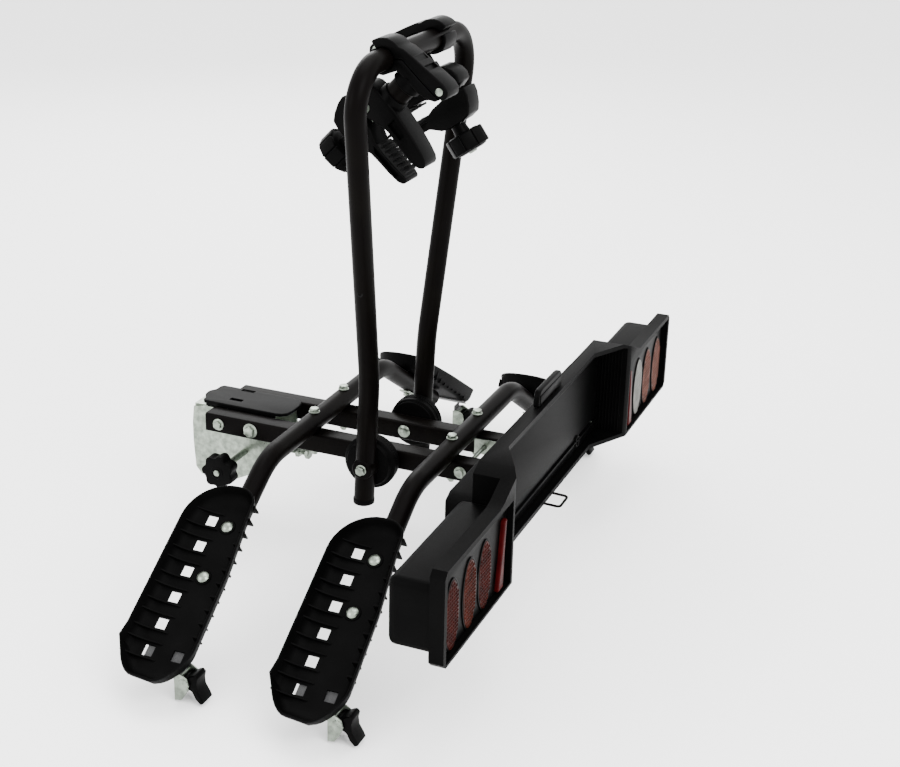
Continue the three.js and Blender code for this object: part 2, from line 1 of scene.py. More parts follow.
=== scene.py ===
# %% [markdown]
# A bike rack that clamps onto a car's tow ball. Two square steel rails run back from the ball, two bent
# round arms lie across them, and each arm end carries a sloping plastic wheel tray. A hoop folds on two
# hinges, holds the bikes' frames, and a light board closes the rear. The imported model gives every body
# and the overall sizes. Each visible piece is built in the same frame and only rides on its body. The bar
# clamps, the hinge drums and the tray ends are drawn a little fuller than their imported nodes.

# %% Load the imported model
import math

import bmesh
import bpy
from mathutils import Matrix, Vector


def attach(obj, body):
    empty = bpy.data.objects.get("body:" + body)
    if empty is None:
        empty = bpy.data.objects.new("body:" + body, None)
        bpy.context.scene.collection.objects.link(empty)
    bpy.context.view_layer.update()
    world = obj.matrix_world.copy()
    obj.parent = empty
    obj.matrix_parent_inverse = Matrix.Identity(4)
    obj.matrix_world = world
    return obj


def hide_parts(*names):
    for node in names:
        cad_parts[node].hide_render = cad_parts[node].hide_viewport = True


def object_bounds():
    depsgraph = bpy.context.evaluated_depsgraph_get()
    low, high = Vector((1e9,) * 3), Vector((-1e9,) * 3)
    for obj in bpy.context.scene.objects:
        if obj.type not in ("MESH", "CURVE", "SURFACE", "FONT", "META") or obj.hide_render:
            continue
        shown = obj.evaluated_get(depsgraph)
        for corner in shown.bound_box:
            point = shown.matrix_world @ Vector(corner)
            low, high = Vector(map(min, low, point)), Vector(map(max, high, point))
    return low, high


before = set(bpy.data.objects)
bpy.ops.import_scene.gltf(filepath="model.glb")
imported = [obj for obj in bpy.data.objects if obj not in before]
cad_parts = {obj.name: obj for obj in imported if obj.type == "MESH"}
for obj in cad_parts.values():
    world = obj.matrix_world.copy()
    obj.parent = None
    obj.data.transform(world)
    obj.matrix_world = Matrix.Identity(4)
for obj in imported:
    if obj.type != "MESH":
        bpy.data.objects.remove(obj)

cad_box = [list(corner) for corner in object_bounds()]
print("CAD box", cad_box)

# %% [markdown]
# Every drawing dimension below is in millimetres from the rails' centre line, as a workshop drawing would
# give it. One function turns it into the model's metres, whose origin is the centre of the tow ball.

# %% Units and directions
BALL_Y, BALL_Z = 52.0, -8.0
SIDES = {"left": -1, "right": 1}
ARM_ROWS = {"front": -137.0, "rear": -362.0}
ACROSS, FORWARD, UP = (1, 0, 0), (0, 1, 0), (0, 0, 1)
BACKWARD, DOWN = (0, -1, 0), (0, 0, -1)
TUBE_RADIUS, TUBE_SIDES = 15, 48
RAIL_X, RAIL_HALF = 50, 15


def place(x, y, z):
    return Vector((x, y - BALL_Y, z - BALL_Z)) / 1000


def hexa(code):
    parts = [int(code[i:i + 2], 16) / 255 for i in (0, 2, 4)]
    return tuple(p / 12.92 if p <= 0.04045 else ((p + 0.055) / 1.055) ** 2.4 for p in parts) + (1.0,)


# %% [markdown]
# The camera stands behind the rack on its left and looks down a little. A long lens keeps the tubes
# parallel. The floor is a plain pale sheet and the light comes from wide soft panels.

# %% Camera
CAMERA_AT = place(-2004.7, -1144.86, 1000.56)
YAW, PITCH, ROLL = math.radians(21.96), math.radians(-22.43), math.radians(1.39)
FOCAL_IN_WIDTHS = 1580.64 / 900
camera_data = bpy.data.cameras.new("camera")
camera_data.sensor_width = 36
camera_data.lens = 36 * FOCAL_IN_WIDTHS
camera_data.clip_end = 50
camera = bpy.data.objects.new("camera", camera_data)
bpy.context.scene.collection.objects.link(camera)
ahead = Vector((math.cos(YAW) * math.cos(PITCH), math.sin(YAW) * math.cos(PITCH), math.sin(PITCH)))
across = ahead.cross(Vector(UP)).normalized()
upward = across.cross(ahead)
right = across * math.cos(ROLL) + upward * math.sin(ROLL)
top = upward * math.cos(ROLL) - across * math.sin(ROLL)
camera.matrix_world = Matrix.Translation(CAMERA_AT) @ Matrix((right, top, -ahead)).transposed().to_4x4()
bpy.context.scene.camera = camera
print("camera at", [round(v, 3) for v in CAMERA_AT])

# %% Floor, world and lamps
FLOOR_Z = cad_box[0][2] - 0.003


def add_node(tree, kind, settings=None, links=None):
    node = tree.nodes.new(kind)
    for name, value in (settings or {}).items():
        if name in node.inputs:
            node.inputs[name].default_value = value
        else:
            setattr(node, name, value)
    for name, source in (links or {}).items():
        tree.links.new(source, node.inputs[name])
    return node


def new_material(name, settings):
    made = bpy.data.materials.new(name)
    made.use_nodes = True
    shader = made.node_tree.nodes["Principled BSDF"]
    for socket, value in settings.items():
        shader.inputs[socket].default_value = value
    return made, made.node_tree, shader


def link_object(name, mesh):
    made = bpy.data.objects.new(name, mesh)
    bpy.context.scene.collection.objects.link(made)
    return made


floor_mesh = bpy.data.meshes.new("floor")
reach = 30.0
floor_mesh.from_pydata(
    [(-reach, -reach, FLOOR_Z), (reach, -reach, FLOOR_Z), (reach, reach, FLOOR_Z), (-reach, reach, FLOOR_Z)],
    [], [(0, 1, 2, 3)])
floor = link_object("floor", floor_mesh)
floor_material, _, _ = new_material("pale floor", {"Base Color": hexa("fdfdfd"), "Roughness": 0.95})
floor.data.materials.append(floor_material)

world = bpy.data.worlds.new("studio")
bpy.context.scene.world = world
world.use_nodes = True
world.node_tree.nodes["Background"].inputs["Color"].default_value = hexa("ffffff")
world.node_tree.nodes["Background"].inputs["Strength"].default_value = 2.8


def soft_panel(name, position, target, size, power):
    data = bpy.data.lights.new(name, "AREA")
    data.shape = "RECTANGLE"
    data.size, data.size_y = size
    data.energy = power
    panel = bpy.data.objects.new(name, data)
    panel.location = position
    panel.rotation_euler = (Vector(target) - Vector(position)).to_track_quat("-Z", "Y").to_euler()
    bpy.context.scene.collection.objects.link(panel)


soft_panel("key panel", (-1.6, -2.6, 2.6), (0, -0.3, 0.2), (2.0, 1.6), 120)
soft_panel("fill panel", (-2.6, 1.6, 1.6), (0, -0.3, 0.2), (1.6, 1.6), 50)
soft_panel("top panel", (0.4, -0.3, 3.2), (0, -0.3, 0), (2.4, 2.0), 90)
soft_panel("back panel", (2.4, 1.4, 1.8), (0, -0.3, 0.2), (1.6, 1.4), 60)

# %% [markdown]
# Materials. The tubes are mild steel with a baked satin powder coat: very dark, faintly warm, with the
# fine orange-peel that baked powder leaves. The mouldings are glass-filled polypropylene with a fine
# spark-eroded grain. Bolts and plates are zinc plated, which gives a pale, slightly green, cloudy grey.

# %% Powder coat, moulded plastic and zinc


def object_point(tree):
    return add_node(tree, "ShaderNodeTexCoord").outputs["Object"]


def two_tone(tree, shader, low, high, source, ends=(0, 1)):
    colours = add_node(tree, "ShaderNodeValToRGB", links={"Fac": source})
    for stop, position, code in zip(colours.color_ramp.elements, ends, (low, high)):
        stop.position = position
        stop.color = hexa(code)
    tree.links.new(colours.outputs["Color"], shader.inputs["Base Color"])


def embossed(tree, shader, source, strength, distance):
    relief = add_node(tree, "ShaderNodeBump", {"Strength": strength, "Distance": distance},
                      {"Height": source})
    tree.links.new(relief.outputs["Normal"], shader.inputs["Normal"])


def grained(name, low, high, rough, bump, grain_mm, tone_mm, settings):
    """One finish: two close colours in soft patches, uneven gloss, and a bump of a real grain size."""
    made, tree, shader = new_material(name, settings)
    point = object_point(tree)
    tone = add_node(tree, "ShaderNodeTexNoise", {"Scale": 1000 / tone_mm, "Detail": 4.0}, {"Vector": point})
    two_tone(tree, shader, low, high, tone.outputs["Fac"], (0.35, 0.7))
    grain = add_node(tree, "ShaderNodeTexNoise", {"Scale": 1000 / grain_mm, "Detail": 3.0}, {"Vector": point})
    gloss = add_node(tree, "ShaderNodeMapRange", {"To Min": rough[0], "To Max": rough[1]},
                     {"Value": grain.outputs["Fac"]})
    tree.links.new(gloss.outputs["Result"], shader.inputs["Roughness"])
    embossed(tree, shader, grain.outputs["Fac"], bump, 0.0004)
    return made


powder_coat = grained("satin powder coat on steel", "030202", "050403", (0.34, 0.46), 0.10, 1.2, 60,
                      {"Specular IOR Level": 0.022})
moulded_black = grained("grained polypropylene", "020202", "040404", (0.46, 0.62), 0.22, 0.9, 40,
                        {"Specular IOR Level": 0.02})
soft_black = grained("smooth moulded nylon", "020202", "040404", (0.34, 0.48), 0.12, 1.4, 30,
                     {"Specular IOR Level": 0.02})
board_black = grained("grained ABS board", "020202", "040404", (0.42, 0.56), 0.2, 0.8, 70,
                      {"Specular IOR Level": 0.015})
zinc = grained("clear zinc plate", "666d64", "8b9388", (0.22, 0.38), 0.14, 2.0, 9, {"Metallic": 0.95})
rubber = grained("ribbed EPDM rubber", "050505", "0a0a0a", (0.7, 0.85), 0.3, 0.8, 20,
                 {"Specular IOR Level": 0.1})
panel_black = grained("semi-gloss ABS panel", "020202", "040404", (0.34, 0.46), 0.08, 2.2, 80,
                      {"Specular IOR Level": 0.015})

# %% [markdown]
# The strap is woven polyester. Its threads are about 1.2 mm apart, drawn as two crossing waves on the
# object's own axes. The lamp lenses are dark tinted acrylic, drawn opaque, with prisms as real facets.

# %% Webbing and lenses


def woven(name, low, high):
    made, tree, shader = new_material(name, {"Roughness": 0.8, "Sheen Weight": 0.3, "Sheen Roughness": 0.5})
    thread = 1.2
    point = object_point(tree)
    bands = []
    for direction in ("X", "Y"):
        wave = add_node(tree, "ShaderNodeTexWave", {"bands_direction": direction, "Scale": 314 / thread},
                        {"Vector": point})
        bands.append(wave.outputs["Fac"])
    weave = add_node(tree, "ShaderNodeMath", {"operation": "MULTIPLY"})
    tree.links.new(bands[0], weave.inputs[0])
    tree.links.new(bands[1], weave.inputs[1])
    two_tone(tree, shader, low, high, weave.outputs["Value"])
    embossed(tree, shader, weave.outputs["Value"], 0.6, 0.0006)
    return made


webbing = woven("woven polyester webbing", "0c0c0d", "2a2a2c")


def tinted(name, low, high):
    made, tree, shader = new_material(name, {"Roughness": 0.3, "IOR": 1.49, "Specular IOR Level": 0.02})
    point = object_point(tree)
    tone = add_node(tree, "ShaderNodeTexNoise", {"Scale": 60.0, "Detail": 2.0}, {"Vector": point})
    two_tone(tree, shader, low, high, tone.outputs["Fac"], (0.3, 0.7))
    ripple = add_node(tree, "ShaderNodeTexWave", {"Scale": 160.0, "bands_direction": "Z"}, {"Vector": point})
    embossed(tree, shader, ripple.outputs["Fac"], 0.25, 0.0005)
    return made


smoked_red = tinted("smoked red acrylic", "160403", "2a0b07")
dark_amber = tinted("smoked amber acrylic", "190704", "30110a")
pale_pink = tinted("pink clear acrylic", "36211b", "4c3029")
pale_clear = tinted("clear acrylic", "52524f", "686865")
bright_red = tinted("red acrylic reflector", "240304", "340607")
reflector = grained("vacuum-metallised reflector", "8a8580", "b0aaa4", (0.1, 0.25), 0.1, 3, 15,
                    {"Metallic": 0.8})

# %% [markdown]
# Helpers. A piece is built as a bmesh in millimetres, then moved into the model's metres, shaded smooth
# up to a crease angle, given its finish and told which body carries it.

# %% Finishing a piece
CREASE = math.radians(32)
TO_MODEL = Matrix.Scale(0.001, 4) @ Matrix.Translation((0, -BALL_Y, -BALL_Z))


def moved(shape, matrix):
    bmesh.ops.transform(shape, matrix=matrix, verts=shape.verts)
    return shape


def finish_piece(name, shape, material, body, nodes=(), crease=CREASE, move=None):
    if move is not None:
        moved(shape, move)
    moved(shape, TO_MODEL)
    bmesh.ops.remove_doubles(shape, verts=shape.verts, dist=1e-6)
    bmesh.ops.recalc_face_normals(shape, faces=shape.faces)
    for face in shape.faces:
        face.smooth = True
    for edge in shape.edges:
        edge.smooth = len(edge.link_faces) == 2 and edge.calc_face_angle(0) < crease
    mesh = bpy.data.meshes.new(name)
    shape.to_mesh(mesh)
    shape.free()
    mesh.materials.append(material)
    piece = link_object(name, mesh)
    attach(piece, body)
    if nodes:
        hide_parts(*nodes)
    return piece


def merged(*shapes):
    out = bmesh.new()
    for shape in shapes:
        held = bpy.data.meshes.new("held")
        shape.to_mesh(held)
        out.from_mesh(held)
        bpy.data.meshes.remove(held)
        shape.free()
    return out


def rounded(shape, width, segments=3, angle=math.radians(30)):
    edges = [e for e in shape.edges if len(e.link_faces) == 2 and e.calc_face_angle(0) > angle]
    bmesh.ops.bevel(shape, geom=edges, offset=width, segments=segments, profile=0.5,
                    affect="EDGES", clamp_overlap=True)
    return shape


def skin(shape, rings, capped=True):
    """Joins rings of equal count with flat strips and closes both ends."""
    count = len(rings[0])
    for a, b in zip(rings, rings[1:]):
        for i in range(count):
            shape.faces.new((a[i], a[(i + 1) % count], b[(i + 1) % count], b[i]))
    if capped:
        shape.faces.new(rings[0])
        shape.faces.new(rings[-1])
    bmesh.ops.recalc_face_normals(shape, faces=shape.faces)
    return shape


def prism(axis, outline, start, end, bevel=0.0, segments=3):
    """A flat outline pushed along X, Y or Z: outline is (y, z), (x, z) or (x, y)."""
    shape = bmesh.new()
    spots = {
        "X": lambda a, b, d: (d, a, b),
        "Y": lambda a, b, d: (a, d, b),
        "Z": lambda a, b, d: (a, b, d),
    }[axis]
    rings = [[shape.verts.new(spots(a, b, depth)) for a, b in outline] for depth in (start, end)]
    count = len(outline)
    for i in range(count):
        j = (i + 1) % count
        shape.faces.new((rings[0][i], rings[0][j], rings[1][j], rings[1][i]))
    shape.faces.new(rings[0])
    shape.faces.new(list(reversed(rings[1])))
    bmesh.ops.recalc_face_normals(shape, faces=shape.faces)
    return rounded(shape, bevel, segments) if bevel else shape


def block(x0, x1, y0, y1, z0, z1, bevel=0.0, segments=2):
    return prism("Z", [(x0, y0), (x1, y0), (x1, y1), (x0, y1)], z0, z1, bevel, segments)


def arc(cx, cy, radius, start, end, steps):
    angles = [math.radians(start + (end - start) * i / steps) for i in range(steps + 1)]
    return [(cx + radius * math.cos(a), cy + radius * math.sin(a)) for a in angles]


def turned(profile, axis, centre, steps=48):
    """A lathe: profile of (distance along the axis, radius), spun round a line through centre."""
    shape = bmesh.new()
    axis = Vector(axis).normalized()
    side = axis.orthogonal().normalized()
    third = axis.cross(side)
    rings = []
    for along, radius in profile:
        if radius < 1e-6:
            rings.append([shape.verts.new(Vector(centre) + axis * along)])
            continue
        ring = []
        for i in range(steps):
            angle = 2 * math.pi * i / steps
            ring.append(shape.verts.new(
                Vector(centre) + axis * along + (side * math.cos(angle) + third * math.sin(angle)) * radius))
        rings.append(ring)
    for a, b in zip(rings, rings[1:]):
        for i in range(steps):
            j = (i + 1) % steps
            corners = [a[i % len(a)], a[j % len(a)], b[j % len(b)], b[i % len(b)]]
            unique = []
            for vert in corners:
                if vert not in unique:
                    unique.append(vert)
            if len(unique) > 2:
                shape.faces.new(unique)
    for ring in (rings[0], rings[-1]):
        if len(ring) > 1:
            shape.faces.new(ring)
    bmesh.ops.recalc_face_normals(shape, faces=shape.faces)
    return shape


def cylinder(start, end, radius, axis, centre, steps=48):
    """A plain round bar from start to end along the axis."""
    return turned([(start, 0), (start, radius), (end, radius), (end, 0)], axis, centre, steps)


def rounded_path(corners, radii, steps):
    points = [Vector(corners[0])]
    for i in range(1, len(corners) - 1):
        here = Vector(corners[i])
        before = (Vector(corners[i - 1]) - here).normalized()
        after = (Vector(corners[i + 1]) - here).normalized()
        half = before.angle(after) / 2
        reach = radii[i - 1] / math.tan(half)
        centre = here + (before + after).normalized() * radii[i - 1] / math.sin(half)
        start = here + before * reach - centre
        end = here + after * reach - centre
        axis = start.cross(end).normalized()
        sweep = start.angle(end)
        for step in range(steps + 1):
            points.append(centre + Matrix.Rotation(sweep * step / steps, 3, axis) @ start)
    points.append(Vector(corners[-1]))
    return points


def tube(points, radius, sides):
    """A round tube along a path, with closed ends."""
    shape = bmesh.new()
    points = [Vector(p) for p in points]
    rings, normal = [], None
    for i, point in enumerate(points):
        ahead_ = points[min(i + 1, len(points) - 1)] - point
        behind = point - points[max(i - 1, 0)]
        along = (ahead_.normalized() if ahead_.length else Vector()) + (
            behind.normalized() if behind.length else Vector())
        along.normalize()
        normal = along.orthogonal() if normal is None else normal - along * normal.dot(along)
        normal.normalize()
        other = along.cross(normal)
        rings.append([point + (normal * math.cos(2 * math.pi * k / sides)
                               + other * math.sin(2 * math.pi * k / sides)) * radius for k in range(sides)])
    made = [[shape.verts.new(v) for v in ring] for ring in rings]
    return skin(shape, made)


def carved(shape, tools, mode="DIFFERENCE"):
    """Cuts, joins or crosses a shape with others by the exact boolean solver."""
    def as_object(bm):
        mesh = bpy.data.meshes.new("carving")
        bm.to_mesh(mesh)
        bm.free()
        return link_object("carving", mesh)
    base = as_object(shape)
    cutters = [as_object(tool) for tool in tools]
    for cutter in cutters:
        cutting = base.modifiers.new("carve", "BOOLEAN")
        cutting.object = cutter
        cutting.operation = mode
        cutting.solver = "EXACT"
    result = bpy.data.meshes.new_from_object(base.evaluated_get(bpy.context.evaluated_depsgraph_get()))
    out = bmesh.new()
    out.from_mesh(result)
    for used in [base, *cutters]:
        mesh = used.data
        bpy.data.objects.remove(used)
        bpy.data.meshes.remove(mesh)
    bpy.data.meshes.remove(result)
    bmesh.ops.remove_doubles(out, verts=out.verts, dist=1e-4)
    bmesh.ops.dissolve_limit(out, angle_limit=math.radians(0.5), verts=out.verts, edges=out.edges)
    return out


# %% [markdown]
# What repeats is laid out by Geometry Nodes: tray ribs, rubber ribs, knob flats and lens prisms. One
# tree repeats its own mesh along a line, a second repeats it round a circle, and a third fills an oval.

# %% Repeating trees


def new_tree(name, inputs):
    tree = bpy.data.node_groups.new(name, "GeometryNodeTree")
    tree.interface.new_socket("Geometry", in_out="INPUT", socket_type="NodeSocketGeometry")
    for label, kind in inputs:
        tree.interface.new_socket(label, in_out="INPUT", socket_type=kind)
    tree.interface.new_socket("Geometry", in_out="OUTPUT", socket_type="NodeSocketGeometry")
    return tree, add_node(tree, "NodeGroupInput").outputs, add_node(tree, "NodeGroupOutput")


def close_tree(tree, given, end, points, rotation=None):
    links = {"Points": points, "Instance": given["Geometry"]}
    if rotation is not None:
        links["Rotation"] = rotation
    copies = add_node(tree, "GeometryNodeInstanceOnPoints", links=links)
    real = add_node(tree, "GeometryNodeRealizeInstances", links={"Geometry": copies.outputs["Instances"]})
    finish = add_node(tree, "GeometryNodeSetMaterial",
                      links={"Geometry": real.outputs["Geometry"], "Material": given["Material"]})
    tree.links.new(finish.outputs["Geometry"], end.inputs["Geometry"])


row_tree, row_in, row_end = new_tree("repeat along a line", [
    ("Count", "NodeSocketInt"), ("Step", "NodeSocketVector"), ("Material", "NodeSocketMaterial")])
row_line = add_node(row_tree, "GeometryNodeMeshLine", {"mode": "OFFSET"},
                    {"Count": row_in["Count"], "Offset": row_in["Step"]})
close_tree(row_tree, row_in, row_end, row_line.outputs["Mesh"])

ring_tree, ring_in, ring_end = new_tree("repeat round a circle", [
    ("Count", "NodeSocketInt"), ("Material", "NodeSocketMaterial")])
ring_points = add_node(ring_tree, "GeometryNodeMeshLine", {"mode": "OFFSET", "Offset": (0, 0, 0)},
                       {"Count": ring_in["Count"]})
ring_index = add_node(ring_tree, "GeometryNodeInputIndex")
ring_share = add_node(ring_tree, "ShaderNodeMath", {"operation": "DIVIDE"})
ring_tree.links.new(ring_index.outputs["Index"], ring_share.inputs[0])
ring_tree.links.new(ring_in["Count"], ring_share.inputs[1])
ring_turn = add_node(ring_tree, "ShaderNodeMath", {"operation": "MULTIPLY"})
ring_turn.inputs[1].default_value = 2 * math.pi
ring_tree.links.new(ring_share.outputs["Value"], ring_turn.inputs[0])
ring_angles = add_node(ring_tree, "ShaderNodeCombineXYZ", links={"Z": ring_turn.outputs["Value"]})
close_tree(ring_tree, ring_in, ring_end, ring_points.outputs["Mesh"], ring_angles.outputs["Vector"])

oval_tree, oval_in, oval_end = new_tree("fill an oval", [
    ("Half Width", "NodeSocketFloat"), ("Half Height", "NodeSocketFloat"), ("Pitch", "NodeSocketFloat"),
    ("Material", "NodeSocketMaterial")])


def oval_math(operation, first, second):
    node = add_node(oval_tree, "ShaderNodeMath", {"operation": operation})
    for socket, value in zip(node.inputs, (first, second)):
        if isinstance(value, (int, float)):
            socket.default_value = value
        else:
            oval_tree.links.new(value, socket)
    return node.outputs["Value"]


oval_wide = oval_math("MULTIPLY", oval_in["Half Width"], 2.0)
oval_high = oval_math("MULTIPLY", oval_in["Half Height"], 2.0)
oval_grid = add_node(oval_tree, "GeometryNodeMeshGrid", links={
    "Size X": oval_wide, "Size Y": oval_high,
    "Vertices X": oval_math("DIVIDE", oval_wide, oval_in["Pitch"]),
    "Vertices Y": oval_math("DIVIDE", oval_high, oval_in["Pitch"])})
oval_spot = add_node(oval_tree, "GeometryNodeInputPosition")
oval_split = add_node(oval_tree, "ShaderNodeSeparateXYZ", links={"Vector": oval_spot.outputs["Position"]})
oval_x = oval_math("DIVIDE", oval_split.outputs["X"], oval_in["Half Width"])
oval_y = oval_math("DIVIDE", oval_split.outputs["Y"], oval_in["Half Height"])
oval_sum = oval_math("ADD", oval_math("MULTIPLY", oval_x, oval_x), oval_math("MULTIPLY", oval_y, oval_y))
oval_outside = add_node(oval_tree, "FunctionNodeCompare", {"operation": "GREATER_THAN"})
oval_tree.links.new(oval_sum, oval_outside.inputs[0])
oval_outside.inputs[1].default_value = 0.86
oval_kept = add_node(oval_tree, "GeometryNodeDeleteGeometry", {"domain": "POINT"}, {
    "Geometry": oval_grid.outputs["Mesh"], "Selection": oval_outside.outputs["Result"]})
close_tree(oval_tree, oval_in, oval_end, oval_kept.outputs["Geometry"])


def repeated(shape, tree, values):
    """Runs one of the trees on a shape and gives back the plain result as a bmesh."""
    mesh = bpy.data.meshes.new("item")
    shape.to_mesh(mesh)
    shape.free()
    item = link_object("item", mesh)
    modifier = item.modifiers.new("repeat", "NODES")
    modifier.node_group = tree
    sockets = {s.name: s.identifier for s in tree.interface.items_tree if s.in_out == "INPUT"}
    for label, value in values.items():
        modifier[sockets[label]] = value
    result = bpy.data.meshes.new_from_object(item.evaluated_get(bpy.context.evaluated_depsgraph_get()))
    item.modifiers.remove(modifier)
    out = bmesh.new()
    out.from_mesh(result)
    bpy.data.objects.remove(item)
    bpy.data.meshes.remove(result)
    return out


print("trees ready:", [group.name for group in bpy.data.node_groups])

# %% [markdown]
# Rails: 30 mm square tube with the small corner radius of cold-formed box section and open ends.

# %% Rails


def box_section(x, half, y0, y1, radius=3.5, wall=2.0):
    shape = bmesh.new()
    rings = []
    for y, size in ((y0, half), (y1, half), (y1, half - wall), (y0, half - wall)):
        r = max(radius - (half - size), 1.2)
        corner = size - r
        outline = (arc(corner, corner, r, 0, 90, 4) + arc(-corner, corner, r, 90, 180, 4)
                   + arc(-corner, -corner, r, 180, 270, 4) + arc(corner, -corner, r, 270, 360, 4))
        rings.append([shape.verts.new((x + a, y, b)) for a, b in outline])
    return skin(shape, rings + rings[:1], capped=False)


for side, sign in SIDES.items():
    finish_piece(f"rail_tube_{side}", box_section(sign * RAIL_X, RAIL_HALF, -439, 45), powder_coat, "frame",
                 [f"rail_{side}"])

# %% [markdown]
# Bolts: forged hexagon heads with a chamfered crown and a pressed washer face, all in one zinc finish.
# Each head is three stacked hexagons, and the top one is drawn in as the chamfer.

# %% Bolts


def hexagon_head(centre, axis, across_flats, height, turn=0.0):
    axis = Vector(axis).normalized()
    corner = across_flats / math.sqrt(3)
    side = axis.orthogonal().normalized()
    third = axis.cross(side)
    shape = bmesh.new()
    levels = ((0.0, 1.0), (height * 0.86, 1.0), (height, 0.86))
    rings = []
    for along, scale in levels:
        ring = []
        for i in range(6):
            angle = math.radians(60 * i + turn)
            spot = (side * math.cos(angle) + third * math.sin(angle)) * corner * scale
            ring.append(shape.verts.new(Vector(centre) + axis * along + spot))
        rings.append(ring)
    return rounded(skin(shape, rings), 0.35, 2, math.radians(20))


def washer(centre, axis, radius, bore, thick):
    profile = [(0, bore), (0, radius - 0.4), (0.3, radius), (thick - 0.5, radius), (thick, radius - 0.6),
               (thick, bore), (0, bore)]
    return turned(profile, axis, centre, 36)


def flanged_bolt(seat, axis, flats, turn=0.0, flange=None):
    flange = flange or flats * 0.78
    axis = Vector(axis).normalized()
    dish = turned([(0, 0), (0, flange), (0.8, flange), (1.9, flats * 0.56), (1.9, 0)], axis, seat, 40)
    return merged(dish, hexagon_head(Vector(seat) + axis * 1.7, axis, flats, flats * 0.42, turn))


def threaded(centre, axis, radius, start, end, pitch=1.5):
    profile, along = [(start, 0), (start, radius * 0.82)], start
    while along < end - pitch:
        profile += [(along + pitch * 0.5, radius), (along + pitch, radius * 0.84)]
        along += pitch
    profile += [(end, radius * 0.8), (end, 0)]
    return turned(profile, axis, centre, 24)


CROSS_BOLTS = {"front_cross_bolt": (22, 12), "middle_cross_bolt": (-34, 15), "bracket_cross_bolt": (-382, 12)}
for name, (y, flats) in CROSS_BOLTS.items():
    shape = merged(
        flanged_bolt((-65.2, y, 0), (-1, 0, 0), flats, 12),
        flanged_bolt((65.2, y, 0), ACROSS, flats, 5),
        cylinder(-66, 66, flats * 0.28, ACROSS, (0, y, 0), 24),
    )
    finish_piece(f"{name}_zinc", shape, zinc, "frame", [name])

for row, arm_y in ARM_ROWS.items():
    for side, sign in SIDES.items():
        x = sign * RAIL_X
        shape = merged(
            turned([(0, 4), (0, 8.2), (0.8, 8.4), (1.6, 7.6), (1.6, 4), (0, 4)], UP, (x, arm_y, 45.4), 32),
            hexagon_head((x, arm_y, 46.6), UP, 12.5, 5.2, 20),
            cylinder(-24, 46, 4, UP, (x, arm_y, 0), 20),
            hexagon_head((x, arm_y, -15.3), DOWN, 12.5, 6, 10),
        )
        finish_piece(f"{row}_arm_bolt_zinc_{side}", shape, zinc, "frame", [f"{row}_arm_bolt_{side}"])

# %% [markdown]
# The coupling: a plastic cover over the ball cup, two zinc side plates, the clamping screw with its
# seven-lobed knob on the left, and a stop screw at the back.

# %% Coupling
cover_plan = ([(-33.5, 66), (-28, 69.5), (-21, 70), (-14, 74.5), (-9, 77.5), (0, 78.5), (6, 77.5), (11, 73.5),
               (15, 71.5), (27, 71.5), (33.5, 67)] + [(33.5, -58), (30, -70), (22, -77.5), (10, -80)]
              + [(-12, -80), (-24, -77.5), (-31, -70), (-33.5, -60)])
cover = prism("Z", cover_plan, 16.2, 21.2, 1.6, 4)
cover = carved(cover, [
    block(-15.5, -7, 9, 31, 10, 30),
    block(24, 33.2, 9, 32, 10, 30),
])
skirts = merged(block(-33.5, -30.4, -60, 62, 12.6, 19, 1.0), block(30.4, 33.5, -60, 62, 12.6, 19, 1.0))
slot_floors = merged(block(-16, -6.5, 8, 32, 15.2, 16.6), block(23, 33, 8, 33, 15.2, 16.6))
finish_piece("coupling_cover", merged(cover, skirts, slot_floors), soft_black, "frame", ["coupler_cover"])


def lobed(outer, inner, lobes, steps, centre):
    points = []
    for i in range(lobes * steps):
        angle = 2 * math.pi * i / (lobes * steps)
        wave = (0.5 + 0.5 * math.cos(lobes * angle)) ** 0.8
        points.append((centre[0] + (inner + (outer - inner) * wave) * math.cos(angle),
                       centre[1] + (inner + (outer - inner) * wave) * math.sin(angle)))
    return points


KNOB_Y, KNOB_Z = -5.0, -54.0
star = prism("X", lobed(27.5, 22.8, 7, 12, (KNOB_Y, KNOB_Z)), -120, -99, 3.2, 5)
hub = turned([(0, 0), (0, 15), (3, 14), (11, 12.5), (13, 12), (13, 0)], ACROSS, (-99.5, KNOB_Y, KNOB_Z), 40)
dish = turned([(-0.6, 0), (-0.6, 10), (0.5, 11.5), (1.2, 11.5), (1.2, 0)], ACROSS, (-120, KNOB_Y, KNOB_Z), 40)
finish_piece("star_knob", merged(star, hub, dish), soft_black, "clamp_screw", ["clamp_screw"])
rod = merged(
    turned([(-123, 0), (-123, 3.6), (-122, 4.8), (-119, 5), (34, 5), (34, 0)], ACROSS,
           (0, KNOB_Y, KNOB_Z), 24),
    threaded((0, KNOB_Y, KNOB_Z), ACROSS, 5, 34, 47),
    hexagon_head((36, KNOB_Y, KNOB_Z), ACROSS, 16, 8, 10),
    washer((35.2, KNOB_Y, KNOB_Z), ACROSS, 10, 5, 0.9),
)
finish_piece("clamp_rod_zinc", rod, zinc, "clamp_screw")
stop = merged(
    threaded((0, 0, -52), BACKWARD, 5, 12.5, 96),
    hexagon_head((0, -80, -52), BACKWARD, 16.5, 6.5, 5),
    hexagon_head((0, -96.5, -52), BACKWARD, 16.5, 7.5, 18),
)
finish_piece("stop_screw_zinc", stop, zinc, "stop_screw", ["stop_bolt"])

# %% [markdown]
# The arms are one bent round tube each, closed at the ends, that follows a rounded path.

# %% Arms
SLOPE = math.radians(33)
BEND_X, ARM_Z = 197.0, 30.3


